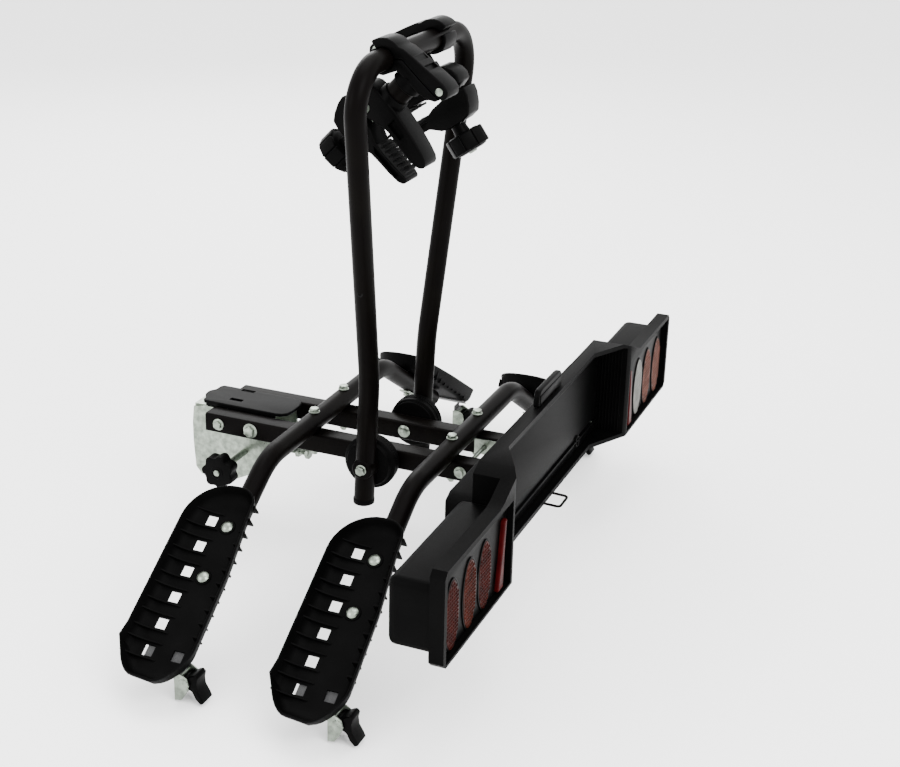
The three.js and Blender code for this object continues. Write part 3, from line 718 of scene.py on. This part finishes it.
def slope_frame(sign, y):
    """Moves (along the slope, across it, above it) into the drawing's coordinates."""
    along = Vector((sign * math.cos(SLOPE), 0, -math.sin(SLOPE)))
    above = Vector((sign * math.sin(SLOPE), 0, math.cos(SLOPE)))
    turn = Matrix((along, Vector(FORWARD), above)).transposed().to_4x4()
    return Matrix.Translation((sign * BEND_X, y, ARM_Z)) @ turn


for row, arm_y in ARM_ROWS.items():
    ends = [slope_frame(sign, arm_y) @ Vector((250, 0, 0)) for sign in (-1, 1)]
    path = rounded_path([ends[0], (-BEND_X, arm_y, ARM_Z), (BEND_X, arm_y, ARM_Z), ends[1]], [100, 100], 14)
    finish_piece(f"{row}_arm_tube", tube(path, TUBE_RADIUS, TUBE_SIDES), powder_coat, "frame", [f"{row}_arm"])

# %% [markdown]
# The hoop: one more bent tube, with a black plug in each leg end. It leans back a little from the hinge.

# %% Hoop
HINGE_Y, LEG_X = -248.0, 104.0
HOOP_TOP, HOOP_LEAN, SHOULDER_X = 599, 26, 200


def hoop_point(x, z):
    return Vector((x, HINGE_Y - HOOP_LEAN * z / HOOP_TOP, z))


hoop_corners = [hoop_point(-LEG_X, -52), hoop_point(-LEG_X, 135), hoop_point(-SHOULDER_X, HOOP_TOP),
                hoop_point(SHOULDER_X, HOOP_TOP),
                hoop_point(LEG_X, 135), hoop_point(LEG_X, -52)]
finish_piece("hoop_tube", tube(rounded_path(hoop_corners, [240, 58, 58, 240], 14), TUBE_RADIUS,
             TUBE_SIDES), powder_coat, "hoop", ["hoop"])
plugs = merged(*(
    turned([(0, 0), (0, 13), (1.5, 15.6), (6, 16), (8, 16), (9.5, 15.2), (9.5, 0)], UP,
           hoop_point(sign * LEG_X, -60), 40) for sign in SIDES.values()))
finish_piece("hoop_end_plugs", plugs, moulded_black, "hoop")
hole_rim = turned([(0, 2.6), (0, 4.2), (1.0, 4.4), (1.2, 2.6), (0, 2.6)], (-1, 0, 0),
                  hoop_point(-134.5, 283) + Vector((-14.2, 0, 0)), 24)
hole_floor = cylinder(0, 0.5, 3, (-1, 0, 0),
                    hoop_point(-134.5, 283) + Vector((-14.2, 0, 0)), 24)
finish_piece("hoop_latch_hole", merged(hole_rim, hole_floor), rubber, "hoop")

# %% [markdown]
# The hinges: a stepped drum in two halves. The inner half is fixed to the rail, the outer half and the
# leg turn on a bolt. Fine teeth where the halves meet are one tooth repeated round a circle.

# %% Hinge drums
for side, sign in SIDES.items():
    out = (sign, 0, 0)
    fixed = turned([(65.3, 0), (65.3, 35), (66, 36), (69.5, 36), (70.3, 38.4), (71, 39.4), (77.4, 39.4),
                    (78.1, 38.6), (78.1, 0)], out, (0, HINGE_Y, 0), 72)
    finish_piece(f"hinge_base_drum_{side}", fixed, moulded_black, "frame", [f"hinge_base_{side}"])
    tooth = block(39.4, 40.7, -0.9, 0.9, -2.4, 2.4, 0.3, 1)
    teeth = repeated(tooth, ring_tree, {"Count": 60, "Material": moulded_black})
    teeth_move = Matrix.Translation((sign * 81.5, HINGE_Y, 0)) @ Matrix.Rotation(math.pi / 2, 4, "Y")
    moved(teeth, teeth_move)
    drum = turned([(78.7, 0), (78.7, 39.2), (79.4, 40), (84, 40), (84.8, 40.8), (89, 40.8), (90.6, 39.6),
                   (92, 36), (93, 35.4), (96.8, 33.4), (97, 32.4), (97, 0)], out, (0, HINGE_Y, 0), 72)
    finish_piece(f"hinge_drum_{side}", merged(drum, teeth), moulded_black, "hoop", [f"hinge_disc_{side}"])
    seat = turned([(85, 0), (85, 19.5), (118, 15.5), (119.3, 13.5), (119.3, 0)], out, (0, HINGE_Y, 0), 48)
    bolt = merged(
        flanged_bolt((sign * 119.4, HINGE_Y, 0), out, 12.5, 25, 8.2),
        turned([(34.8, 0), (34.8, 10), (33.6, 10), (31.8, 8), (31, 4.5), (30.8, 0)], out,
               (0, HINGE_Y, 0), 40),
    )
    finish_piece(f"hinge_bolt_zinc_{side}", bolt, zinc, "hoop", [f"hinge_bolt_{side}"])
    finish_piece(f"hinge_leg_seat_{side}", seat, powder_coat, "hoop")

# %% [markdown]
# Wheel trays. Each is an injection-moulded shell: a thin floor and wall drawn up all round, rectangular
# windows for the strap, and curved fins across the floor that steady the tyre. The shell is one
# outline carried up the outside and down the inside, and the fins are one fin repeated along the tray.

# %% Trays
TRAY_LOW, TRAY_RIM, TRAY_SHIFT = 15.3, 40.3, 10.0
FIN_PITCH, FIN_COUNT = 41, 6
CLAMP_BOLTS = (130, 211)


def tray_outline(inset):
    """The rim from above, drawn in about fixed corner centres, with the far end bowed outwards."""
    half, start, end = 53.5, 75.0, 371.0
    line = (arc(start + 62, half - 62, 62 - inset, 180, 90, 10)
            + [(end - 60, half - inset), (end - 30, half + 3 - inset)]
            + arc(end - 30, half - 35, 30 - inset, 60, 0, 5)
            + arc(end - 40, -half + 36, 40 - inset, 0, -90, 8)
            + [(end - 160, -half + inset), (start + 50, -half + 9 + inset)]
            + arc(start + 28, -half + 37, 28 - inset, 250, 180, 6))
    return [(a + max(0, (a - 290) / 80) * (9 - 26 * ((b + 4) / half) ** 2), b) for a, b in line]


def lofted(levels):
    """A shell through outlines of equal count at rising heights."""
    shape = bmesh.new()
    rings = [[shape.verts.new((a, b, height)) for a, b in outline] for outline, height in levels]
    return skin(shape, rings)


def make_tray():
    levels = [
        (16, TRAY_LOW), (10, TRAY_LOW + 1.2), (5.5, TRAY_LOW + 5), (2.6, TRAY_LOW + 11), (0.9, TRAY_RIM - 5),
        (0, TRAY_RIM - 3.5), (0, TRAY_RIM - 0.8), (0.8, TRAY_RIM), (2.4, TRAY_RIM), (3.4, TRAY_RIM - 1.5),
        (5.6, TRAY_LOW + 14), (9, TRAY_LOW + 8.5), (14, TRAY_LOW + 5), (20, TRAY_LOW + 3.4),
        (25, TRAY_LOW + 3),
    ]
    shell = lofted([(tray_outline(inset), height) for inset, height in levels])
    windows = [block(along - 8, along + 8, 9, 25, 0, 60) for along in range(125, 331, FIN_PITCH)]
    windows.append(block(321, 337, -35, -19, 0, 60))
    shell = carved(shell, windows)
    fin_outline = [(50, 3), (50, 17), (44, 14.5), (36, 10.5), (26, 8), (14, 6.5), (4, 5.5), (0, 3)]
    fin = prism("X", [(a, b + TRAY_LOW) for a, b in fin_outline], -1.1, 1.1, 0.4, 2)
    moved(fin, Matrix.Translation((113, 0, 0)))
    fin_row = {"Count": FIN_COUNT, "Step": (FIN_PITCH, 0, 0), "Material": moulded_black}
    fins_a = repeated(fin.copy(), row_tree, fin_row)
    moved(fin, Matrix.Translation((24, 0, 0)))
    fins_b = repeated(fin, row_tree, fin_row)
    rear_rib = block(97, 99.4, -45, -36, TRAY_LOW + 2, TRAY_RIM - 5, 0.4, 2)
    rear_ribs = repeated(rear_rib, row_tree,
                         {"Count": 11, "Step": (20.5, -0.7, 0), "Material": moulded_black})
    pads = merged(*(turned([(0, 0), (0, 12), (1.6, 11), (1.6, 0)], UP,
                           (along, -10, TRAY_LOW + 2.8), 32) for along in CLAMP_BOLTS))
    return merged(shell, fins_a, fins_b, rear_ribs, pads)


for row, arm_y in ARM_ROWS.items():
    for side, sign in SIDES.items():
        finish_piece(f"tray_shell_{row}_{side}", make_tray(), moulded_black, "frame", [f"tray_{row}_{side}"],
                     move=slope_frame(sign, arm_y + TRAY_SHIFT))
        clamp = merged(
            block(116, 225, -9, 9, -18.3, -15.4, 1.0),
            *(merged(
                turned([(TRAY_LOW + rise, radius) for rise, radius in (
                    (4.2, 0), (4.2, 8.6), (5.2, 8.4), (7.4, 6.0), (8.4, 2.6), (8.5, 0))],
                       UP, (along, 0, 0), 32),
                hexagon_head((along, 0, -18.3), DOWN, 10, 5, 12),
                cylinder(-18, 20, 3, UP, (along, 0, 0), 16),
            ) for along in CLAMP_BOLTS),
        )
        finish_piece(f"tray_clamp_zinc_{row}_{side}", clamp, zinc, "frame", [f"tray_clamp_{row}_{side}"],
                     move=slope_frame(sign, arm_y))

# %% [markdown]
# Straps: woven webbing crosses under each tray and drops into a small zinc ratchet frame, whose black
# lever winds it tight.

# %% Straps and ratchets
RATCHET_X, RATCHET_HALF = 481.0, 15.0
for row, arm_y in ARM_ROWS.items():
    for side, sign in SIDES.items():
        band = block(320, 342, -44, 22, 12.7, 14.9, 0.5)
        middle, back = sign * RATCHET_X, arm_y - 20
        moved(band, slope_frame(sign, arm_y + TRAY_SHIFT))
        drop = block(middle - 11, middle + 11, back - 1.1, back + 1.1, -168, -143.5, 0.4)
        tail = block(middle - 11, middle + 11, back - 4.2, back - 2.4, -178, -150, 0.4)
        finish_piece(f"webbing_{row}_{side}", merged(band, drop, tail), webbing, "frame")
        cheeks = []
        for edge in (-1, 1):
            x = middle + edge * (RATCHET_HALF - 1)
            outline = [(back + 2, -152), (back - 8, -150), (back - 18, -156), (back - 20.5, -166),
                       (back - 16, -178), (back - 8, -190), (back + 2, -192)]
            cheeks.append(prism("X", outline, x - 1, x + 1, 0.5, 2))
        base = block(middle - 13.5, middle + 13.5, back - 1.5, back + 1.8, -192, -166, 0.6)
        spool = merged(*(
            cylinder(-13, 13, r, ACROSS, (middle, back - dy, z), 24)
            for r, dy, z in ((2.6, 7, -184), (3.2, 4, -158))))
        toothed = [(back - 13 + (6.5 if i % 2 else 8.2) * math.cos(math.radians(i * 15)),
                    -164 + (6.5 if i % 2 else 8.2) * math.sin(math.radians(i * 15))) for i in range(24)]
        wheels = merged(*(prism("X", toothed, middle + e * 16.0, middle + e * 15.1) for e in (-1, 1)))
        finish_piece(f"ratchet_frame_{row}_{side}", merged(*cheeks, base, spool, wheels), zinc, "frame",
                     [f"strap_{row}_{side}"])
        y, z, rear = arm_y - 33, -164, arm_y - 40
        blade = [(y, z + 6), (rear - 3, z + 13), (rear - 8, z + 15), (rear - 12, z + 11), (rear - 10, z + 2),
                 (rear - 11, z - 8), (rear - 17, z - 18), (rear - 20, z - 25), (rear - 15, z - 28),
                 (rear - 8, z - 21), (rear - 3, z - 11), (y, z - 6)]
        lever = merged(prism("X", blade, middle - 12.4, middle + 12.4, 1.6, 3),
                       cylinder(-12.5, 12.5, 7.6, ACROSS, (middle, y, z), 32))
        finish_piece(f"lever_{row}_{side}", lever, soft_black, f"lever_{row}_{side}",
                     [f"ratchet_lever_{row}_{side}"])

# %% [markdown]
# Frame holders. Both are the same part, set facing opposite ways: a two-piece clamp round the hoop's top
# bar, a short tube, a fixed jaw and a tipping jaw with a ribbed rubber pad, and one long stud whose
# nine-sided knob pulls everything tight.

# %% Frame holders
HOLDERS = {"left": (-89.0, 44.0, -1), "right": (77.0, 35.0, 1)}
HALF = 21.0
STUD = 42.0
PIN = (28.0, -66.0)


def holder_frame(x, degrees, sign):
    turn = math.radians(degrees)
    along = Vector((0, sign * math.cos(turn), -math.sin(turn)))
    outward = Vector((0, sign * math.sin(turn), math.cos(turn)))
    width = along.cross(outward)
    bar = hoop_point(0, HOOP_TOP)
    return Matrix.Translation((x, bar.y, bar.z)) @ Matrix((along, outward, width)).transposed().to_4x4()


def slab(outline, half, bevel=2.0, segments=3):
    return prism("Z", outline, -half, half, bevel, segments)


def post(profile, along=STUD, steps=48):
    return turned(profile, FORWARD, (along, 0, 0), steps)


for side, (x, degrees, sign) in HOLDERS.items():
    move = holder_frame(x, degrees, sign)
    body = f"holder_{side}"
    upper = slab(arc(0, 0, 28.6, 172, 84, 12) + [(10, 32), (24, 34.5), (46, 37.5), (64, 40.5), (80, 42.5),
                 (90, 41), (95.5, 35), (95, 28), (88, 23.5), (60, 21.6), (18, 21)]
                 + arc(0, 0, 15.3, 52, 172, 14), HALF, 2.4)
    groove = merged(*(slab([(a, 40), (a + 9, 40), (a + 9, 34.4), (a, 34.4)], HALF - 5, 0)
                      for a in (26, 44, 62)))
    finish_piece(f"bar_clamp_top_{side}", carved(upper, [groove]), soft_black, body,
                 [f"hoop_jaw_upper_{side}"], move=move)
    lower = slab(arc(0, 0, 15.3, 46, -172, 24) + arc(0, 0, 21, -172, -44, 12) + [(24, 5), (36, 6), (64, 6.5),
                 (78, 11), (88, 17), (90, 22.6), (60, 20.8), (18, 20.4)], HALF, 1.8)
    collar = post([(-8, 17.7), (-8, 20), (-7, 20.8), (7, 21.5), (9, 21.5), (9, 17.7), (-8, 17.7)])
    finish_piece(f"bar_clamp_bottom_{side}", merged(lower, collar), soft_black, body,
                 [f"hoop_jaw_lower_{side}"], move=move)
    hinge_pin = merged(*(turned([(e * 21.0, 0), (e * 21.0, 5.4), (e * 22.4, 5.2), (e * 23, 3), (e * 23, 0)],
                                UP, (83, 32, 0), 32) for e in (-1, 1)))
    finish_piece(f"bar_clamp_pin_{side}", hinge_pin, zinc, body, move=move)
    finish_piece(f"holder_stem_{side}", post([(-33.7, 0), (-33.7, 17.5), (3.7, 17.5), (3.7, 0)]), powder_coat,
                 body, [f"holder_tube_{side}"], move=move)
    fixed_outline = [(6, -40), (12, -36.5), (26, -35.5), (58, -35.5), (72, -37), (100, -41), (121, -45.5),
                     (134, -49.5), (140, -54), (141, -59), (137, -64), (130, -66.5), (112, -67), (94, -66),
                     (76, -64), (62, -65), (50, -70), (38, -74), (10, -75), (-3, -70), (-5, -60), (-2, -50)]
    fixed = slab(fixed_outline, HALF, 2.6)
    throat = slab([(12, -54), (44, -54), (44, -95), (12, -95)], 6.6, 0)
    hollow = slab([(66, -44), (80, -46), (92, -49), (92, -58), (66, -57)], HALF + 4, 0)
    web = slab([(64, -42), (94, -46), (94, -60), (64, -60)], HALF - 5, 0)
    collar = post([(-41, 17.7), (-41, 21), (-28, 20.6), (-26, 19.8), (-26, 17.7), (-41, 17.7)])
    finish_piece(f"fixed_jaw_{side}", merged(carved(fixed, [throat, hollow]), web, collar), soft_black, body,
                 [f"bike_jaw_fixed_{side}"], move=move)
    pad_rib = slab([(75.4, -66), (80, -66), (79.2, -69.3), (76.2, -69.3)], HALF - 2.5, 0.4, 2)
    pads = repeated(pad_rib, row_tree,
                    {"Count": 7, "Step": (8.2, 0.05, 0), "Material": rubber})
    finish_piece(f"fixed_pad_{side}", pads, rubber, body, move=move)
    jaw_outline = [(-5, -80), (6, -78.6), (38, -79), (56, -82), (70, -87.5), (84, -90), (112, -90.5),
                   (130, -88.5), (136, -89), (139, -92.5), (137, -97.5), (130, -101), (112, -103),
                   (92, -103.4),
                   (76, -104.5), (68, -110), (60, -116), (48, -119), (24, -119), (10, -116), (3, -106),
                   (-3, -92)]
    jaw_hollow = slab([(72, -93), (124, -93), (124, -99), (80, -99)], HALF + 4, 0)
    jaw = carved(slab(jaw_outline, HALF, 2.6), [jaw_hollow])
    jaw_web = slab([(70, -92), (126, -92), (126, -100), (78, -100)], HALF - 5, 0)
    ear = slab(arc(PIN[0], PIN[1], 10, 0, 345, 23), 5.8, 0.6)
    neck = slab([(18, -66), (38, -66), (38, -84), (18, -84)], 5.8, 0)
    finish_piece(f"tipping_jaw_{side}", merged(jaw, jaw_web, ear, neck), soft_black, f"jaw_{side}",
                 [f"bike_jaw_moving_{side}"], move=move)
    rib = slab([(74.6, -90.5), (80.8, -90.5), (80, -85.4), (79, -84.8), (76.4, -84.8), (75.4, -85.4)],
               HALF - 2.5, 0.5, 2)
    ribs = repeated(rib, row_tree, {"Count": 7, "Step": (8.0, 0.1, 0), "Material": rubber})
    strip = slab([(72, -91.5), (74, -87.6), (132, -87.4), (134, -90)], HALF - 2, 0.8, 2)
    finish_piece(f"tipping_pad_{side}", merged(ribs, strip), rubber, f"jaw_{side}",
                 move=move)
    cross_pin = cylinder(-19.4, 19.4, 4, UP, (*PIN, 0), 24)
    pin_heads = merged(*(turned([(e * 20.6, 0), (e * 20.6, 7.4), (e * 22, 7), (e * 23.2, 4), (e * 23.4, 0)],
                                UP, (*PIN, 0), 32) for e in (-1, 1)))
    finish_piece(f"jaw_pin_zinc_{side}", merged(cross_pin, pin_heads), zinc, body,
                 move=move)
    grip = post([(-162, 0), (-162, 17), (-160.6, 23), (-158, 25), (-150, 25.6), (-138, 25.6), (-134.4, 24.6),
                 (-132.6, 21), (-132.6, 12), (-124, 11), (-119.6, 11), (-119.6, 0)], steps=60)
    flute = block(20, 28.6, -9.3, 9.3, -12.6, 12.6, 2.0, 3)
    flutes = repeated(flute, ring_tree, {"Count": 9, "Material": soft_black})
    moved(flutes, Matrix.Translation((STUD, -146.5, 0)) @ Matrix.Rotation(math.pi / 2, 4, "X"))
    finish_piece(f"fluted_knob_{side}", merged(grip, flutes), soft_black, f"knob_{side}",
                 [f"holder_knob_{side}"], move=move)
    stud = merged(
        threaded((STUD, 0, 0), BACKWARD, 4, 50, 133),
        turned([(-164.2, 0), (-164.2, 5.4), (-163.4, 6.4), (-161.6, 6.6), (-161.6, 0)], FORWARD,
               (STUD, 0, 0), 32),
    )
    finish_piece(f"holder_stud_zinc_{side}", stud, zinc, f"knob_{side}", move=move)

# %% [markdown]
# The light board is one long moulding: a frame that stands proud all round, a deep pod for each lamp, and
# a recess for the number plate. Its plan steps forward in the middle, so it is crossed from two outlines.

# %% Light board
BOARD_HALF, BOARD_LOW, POD_TOP, MID_TOP = 499.0, -45.0, 88.0, 117.0
WELL_INNER, WELL_OUTER = 268, 491
SKIRT_DEPTH = 20


def board_face(inset):
    """Front view of the board: high in the middle, lower over the pods."""
    half, low, pod, mid = BOARD_HALF - inset, BOARD_LOW + inset, POD_TOP - inset, MID_TOP - inset
    shift = inset * 0.5
    right_side = [(half - 8, low), (half, low + 8), (half, pod - 8), (half - 8, pod), (318 + shift, pod),
                  (303 + shift, pod + 4), (262 + shift, mid - 7), (246 + shift, mid)]
    return right_side + [(-a, b) for a, b in reversed(right_side)]


def flange_plan():
    """Seen from above: the rear edge steps forward in the middle, the front edge leaves a plate recess."""
    rear = [(-BOARD_HALF - 5, -538), (-262, -538), (-190, -500)]
    ahead_line = [(-BOARD_HALF - 5, -538 + SKIRT_DEPTH), (-WELL_INNER, -538 + SKIRT_DEPTH),
                  (-WELL_INNER, -480)]
    rear += [(-a, b) for a, b in reversed(rear)]
    ahead_line += [(-a, b) for a, b in reversed(ahead_line)]
    return rear + list(reversed(ahead_line))


def side_block(sign, inner, outer, *rest):
    x0, x1 = sorted((sign * inner, sign * outer))
    return block(x0, x1, *rest)


pods = merged(*(prism("Y", [(sign * 262, -30), (sign * 495, -30), (sign * 495, 66), (sign * 262, 66)],
                      -530, -460, 11, 4) for sign in (-1, 1)))
skirt = carved(prism("Y", board_face(0), -560, -430), [prism("Z", flange_plan(), -90, 160)], "INTERSECT")
middle_shell = prism("Y", [(-268, -24), (268, -24), (268, 60), (250, 68), (-250, 68), (-268, 60)],
                     -492, -440, 5, 3)
board = carved(skirt, [pods, middle_shell], "UNION")
recess = carved(prism("Y", board_face(7), -560, -484), [block(-255, 255, -560, -484, -60, 130)], "INTERSECT")
wells = [side_block(sign, WELL_INNER, WELL_OUTER, -560, -522, -41, 80.5) for sign in (-1, 1)]
board = carved(board, [recess, *wells])
board = rounded(board, 1.6, 3, math.radians(38))
finish_piece("board_moulding", board, board_black, "frame", ["light_board_housing"],
             crease=math.radians(40))

ribs = merged(*(
    repeated(block(sign * 254.4 - 1.4, sign * 254.4 + 1.4, -495.2, -493.6, -37, 102, 0.4, 1), row_tree,
             {"Count": 7, "Step": (0, -5.2, 0), "Material": board_black}) for sign in (-1, 1)))
finish_piece("board_inner_ribs", ribs, board_black, "frame")

# %% [markdown]
# The number plate lies on a thin panel between two ledges. The tab above it and the wire loop below are
# separate pieces.

# %% Plate panel, lamp and loop
panel = block(-254.6, 254.6, -487.6, -484.4, -37.4, 109.4, 0.8)
grooves = [block(-240, 240, -489, -487.0, z, z + 1.6) for z in (-30, -24)]
panel = carved(panel, grooves)
ledge = merged(*(block(-246, 246, -491.5, -487.2, z, z + 2.5, 0.8) for z in (-19.5, 96)))
boss = turned([(0, 6.5), (0, 9.5), (3.4, 9), (3.4, 6.8), (0, 6.5)], BACKWARD, (156, -487.4, -20), 40)
finish_piece("plate_panel", merged(panel, ledge, boss), panel_black, "frame", ["number_plate_panel"])
screws = merged(*(turned([(0, 0), (0, 4.2), (1.2, 4.0), (2.4, 2.4), (2.6, 0)], BACKWARD, (x, -487.4, z), 28)
                  for x, z in ((232, -20), (-232, -20))))
finish_piece("plate_screws_zinc", screws, zinc, "frame")
lamp_side = [(52, 117.4), (50, 134), (44, 141), (34, 142.6)]
lamp_outline = [(-a, b) for a, b in lamp_side] + list(reversed(lamp_side))
lamp = prism("Y", lamp_outline, -493.5, -484.5, 2.4, 4)
lamp_seam = block(-46, 46, -494.7, -493.1, 121, 134, 0.6)
finish_piece("plate_lamp_cover", merged(lamp, lamp_seam), soft_black, "frame", ["plate_lamp"])
loop = tube(rounded_path([(-15, -486, -48.2), (-15, -521, -49.5), (23, -521, -49.5), (23, -486, -48.2)],
                         [6, 6], 8), 2.0, 16)
finish_piece("board_wire_loop", loop, powder_coat, "frame", ["wire_bail"])

# %% [markdown]
# Lamps. Behind each smoked oval a reflector sits in the pod, and the lens itself is covered in small
# square prisms: one four-sided cone repeated over the oval.

# %% Lamps
LENSES = (455.0, 398.0, 346.0)
LENS_Z, LENS_HALF_HIGH, LENS_HALF_WIDE = 8.0, 48.0, 21.0
LENS_FACE = -531.0
TINTS = {"left": (smoked_red, dark_amber, smoked_red), "right": (pale_pink, pale_pink, pale_clear)}


def oval(cx, half_wide, half_high, y0, y1, bevel, count=48):
    points = [(cx + half_wide * math.cos(2 * math.pi * i / count),
               LENS_Z + half_high * math.sin(2 * math.pi * i / count)) for i in range(count)]
    return prism("Y", points, y0, y1, bevel, 3)


for side, sign in SIDES.items():
    backing = side_block(sign, WELL_INNER + 0.4, WELL_OUTER - 0.4, -528.8, -525, -40.6, 80.2, 0.8)
    holes = [oval(sign * cx, 22.4, 49.4, -540, -520, 0) for cx in LENSES]
    finish_piece(f"lamp_base_{side}", carved(backing, holes), soft_black, "frame", [f"lamp_unit_{side}"])
    for place_in_row, (cx, tint) in enumerate(zip(LENSES, TINTS[side])):
        bezel = carved(oval(sign * cx, 24.4, 51.2, -530.6, -526, 1.0),
                       [oval(sign * cx, 21.6, 48.6, -545, -510, 0)])
        finish_piece(f"lens_bezel_{side}_{place_in_row}", bezel, soft_black, "frame")
        glass = oval(sign * cx, LENS_HALF_WIDE, LENS_HALF_HIGH, LENS_FACE, LENS_FACE + 3, 1.2)
        cone = bmesh.new()
        bmesh.ops.create_cone(cone, cap_ends=True, segments=4, radius1=3.5, radius2=0.3, depth=1.8,
                              matrix=Matrix.Rotation(math.radians(45), 4, "Z"))
        prisms = repeated(cone, oval_tree, {"Half Width": LENS_HALF_WIDE, "Half Height": LENS_HALF_HIGH,
                                            "Pitch": 5.0, "Material": tint})
        turn = Matrix.Translation((sign * cx, LENS_FACE - 0.6, LENS_Z)) @ Matrix.Rotation(math.pi / 2, 4, "X")
        moved(prisms, turn)
        finish_piece(f"lens_{side}_{place_in_row}", merged(glass, prisms), tint, "frame")
        back = oval(sign * cx, LENS_HALF_WIDE - 0.5, LENS_HALF_HIGH - 0.5, -526.6, -525.4, 0)
        finish_piece(f"reflector_{side}_{place_in_row}", back, reflector, "frame")
    strip = prism("Y", [(sign * 288, -38), (sign * 306, -38), (sign * 297, 10), (sign * 290, 58),
                         (sign * 281, 60), (sign * 286, 10)],
                  -535, -528, 1.8, 3)
    finish_piece(f"side_reflector_{side}", strip, bright_red, "frame")

# %% [markdown]
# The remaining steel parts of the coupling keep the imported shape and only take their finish.

# %% Carried-over parts
KEPT = {"coupler_plate_left": zinc, "coupler_plate_right": zinc, "ball_cup": zinc, "stop_block": zinc,
        "board_bracket": zinc}
for node, material in KEPT.items():
    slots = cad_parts[node].material_slots
    for slot in slots:
        slot.material = material
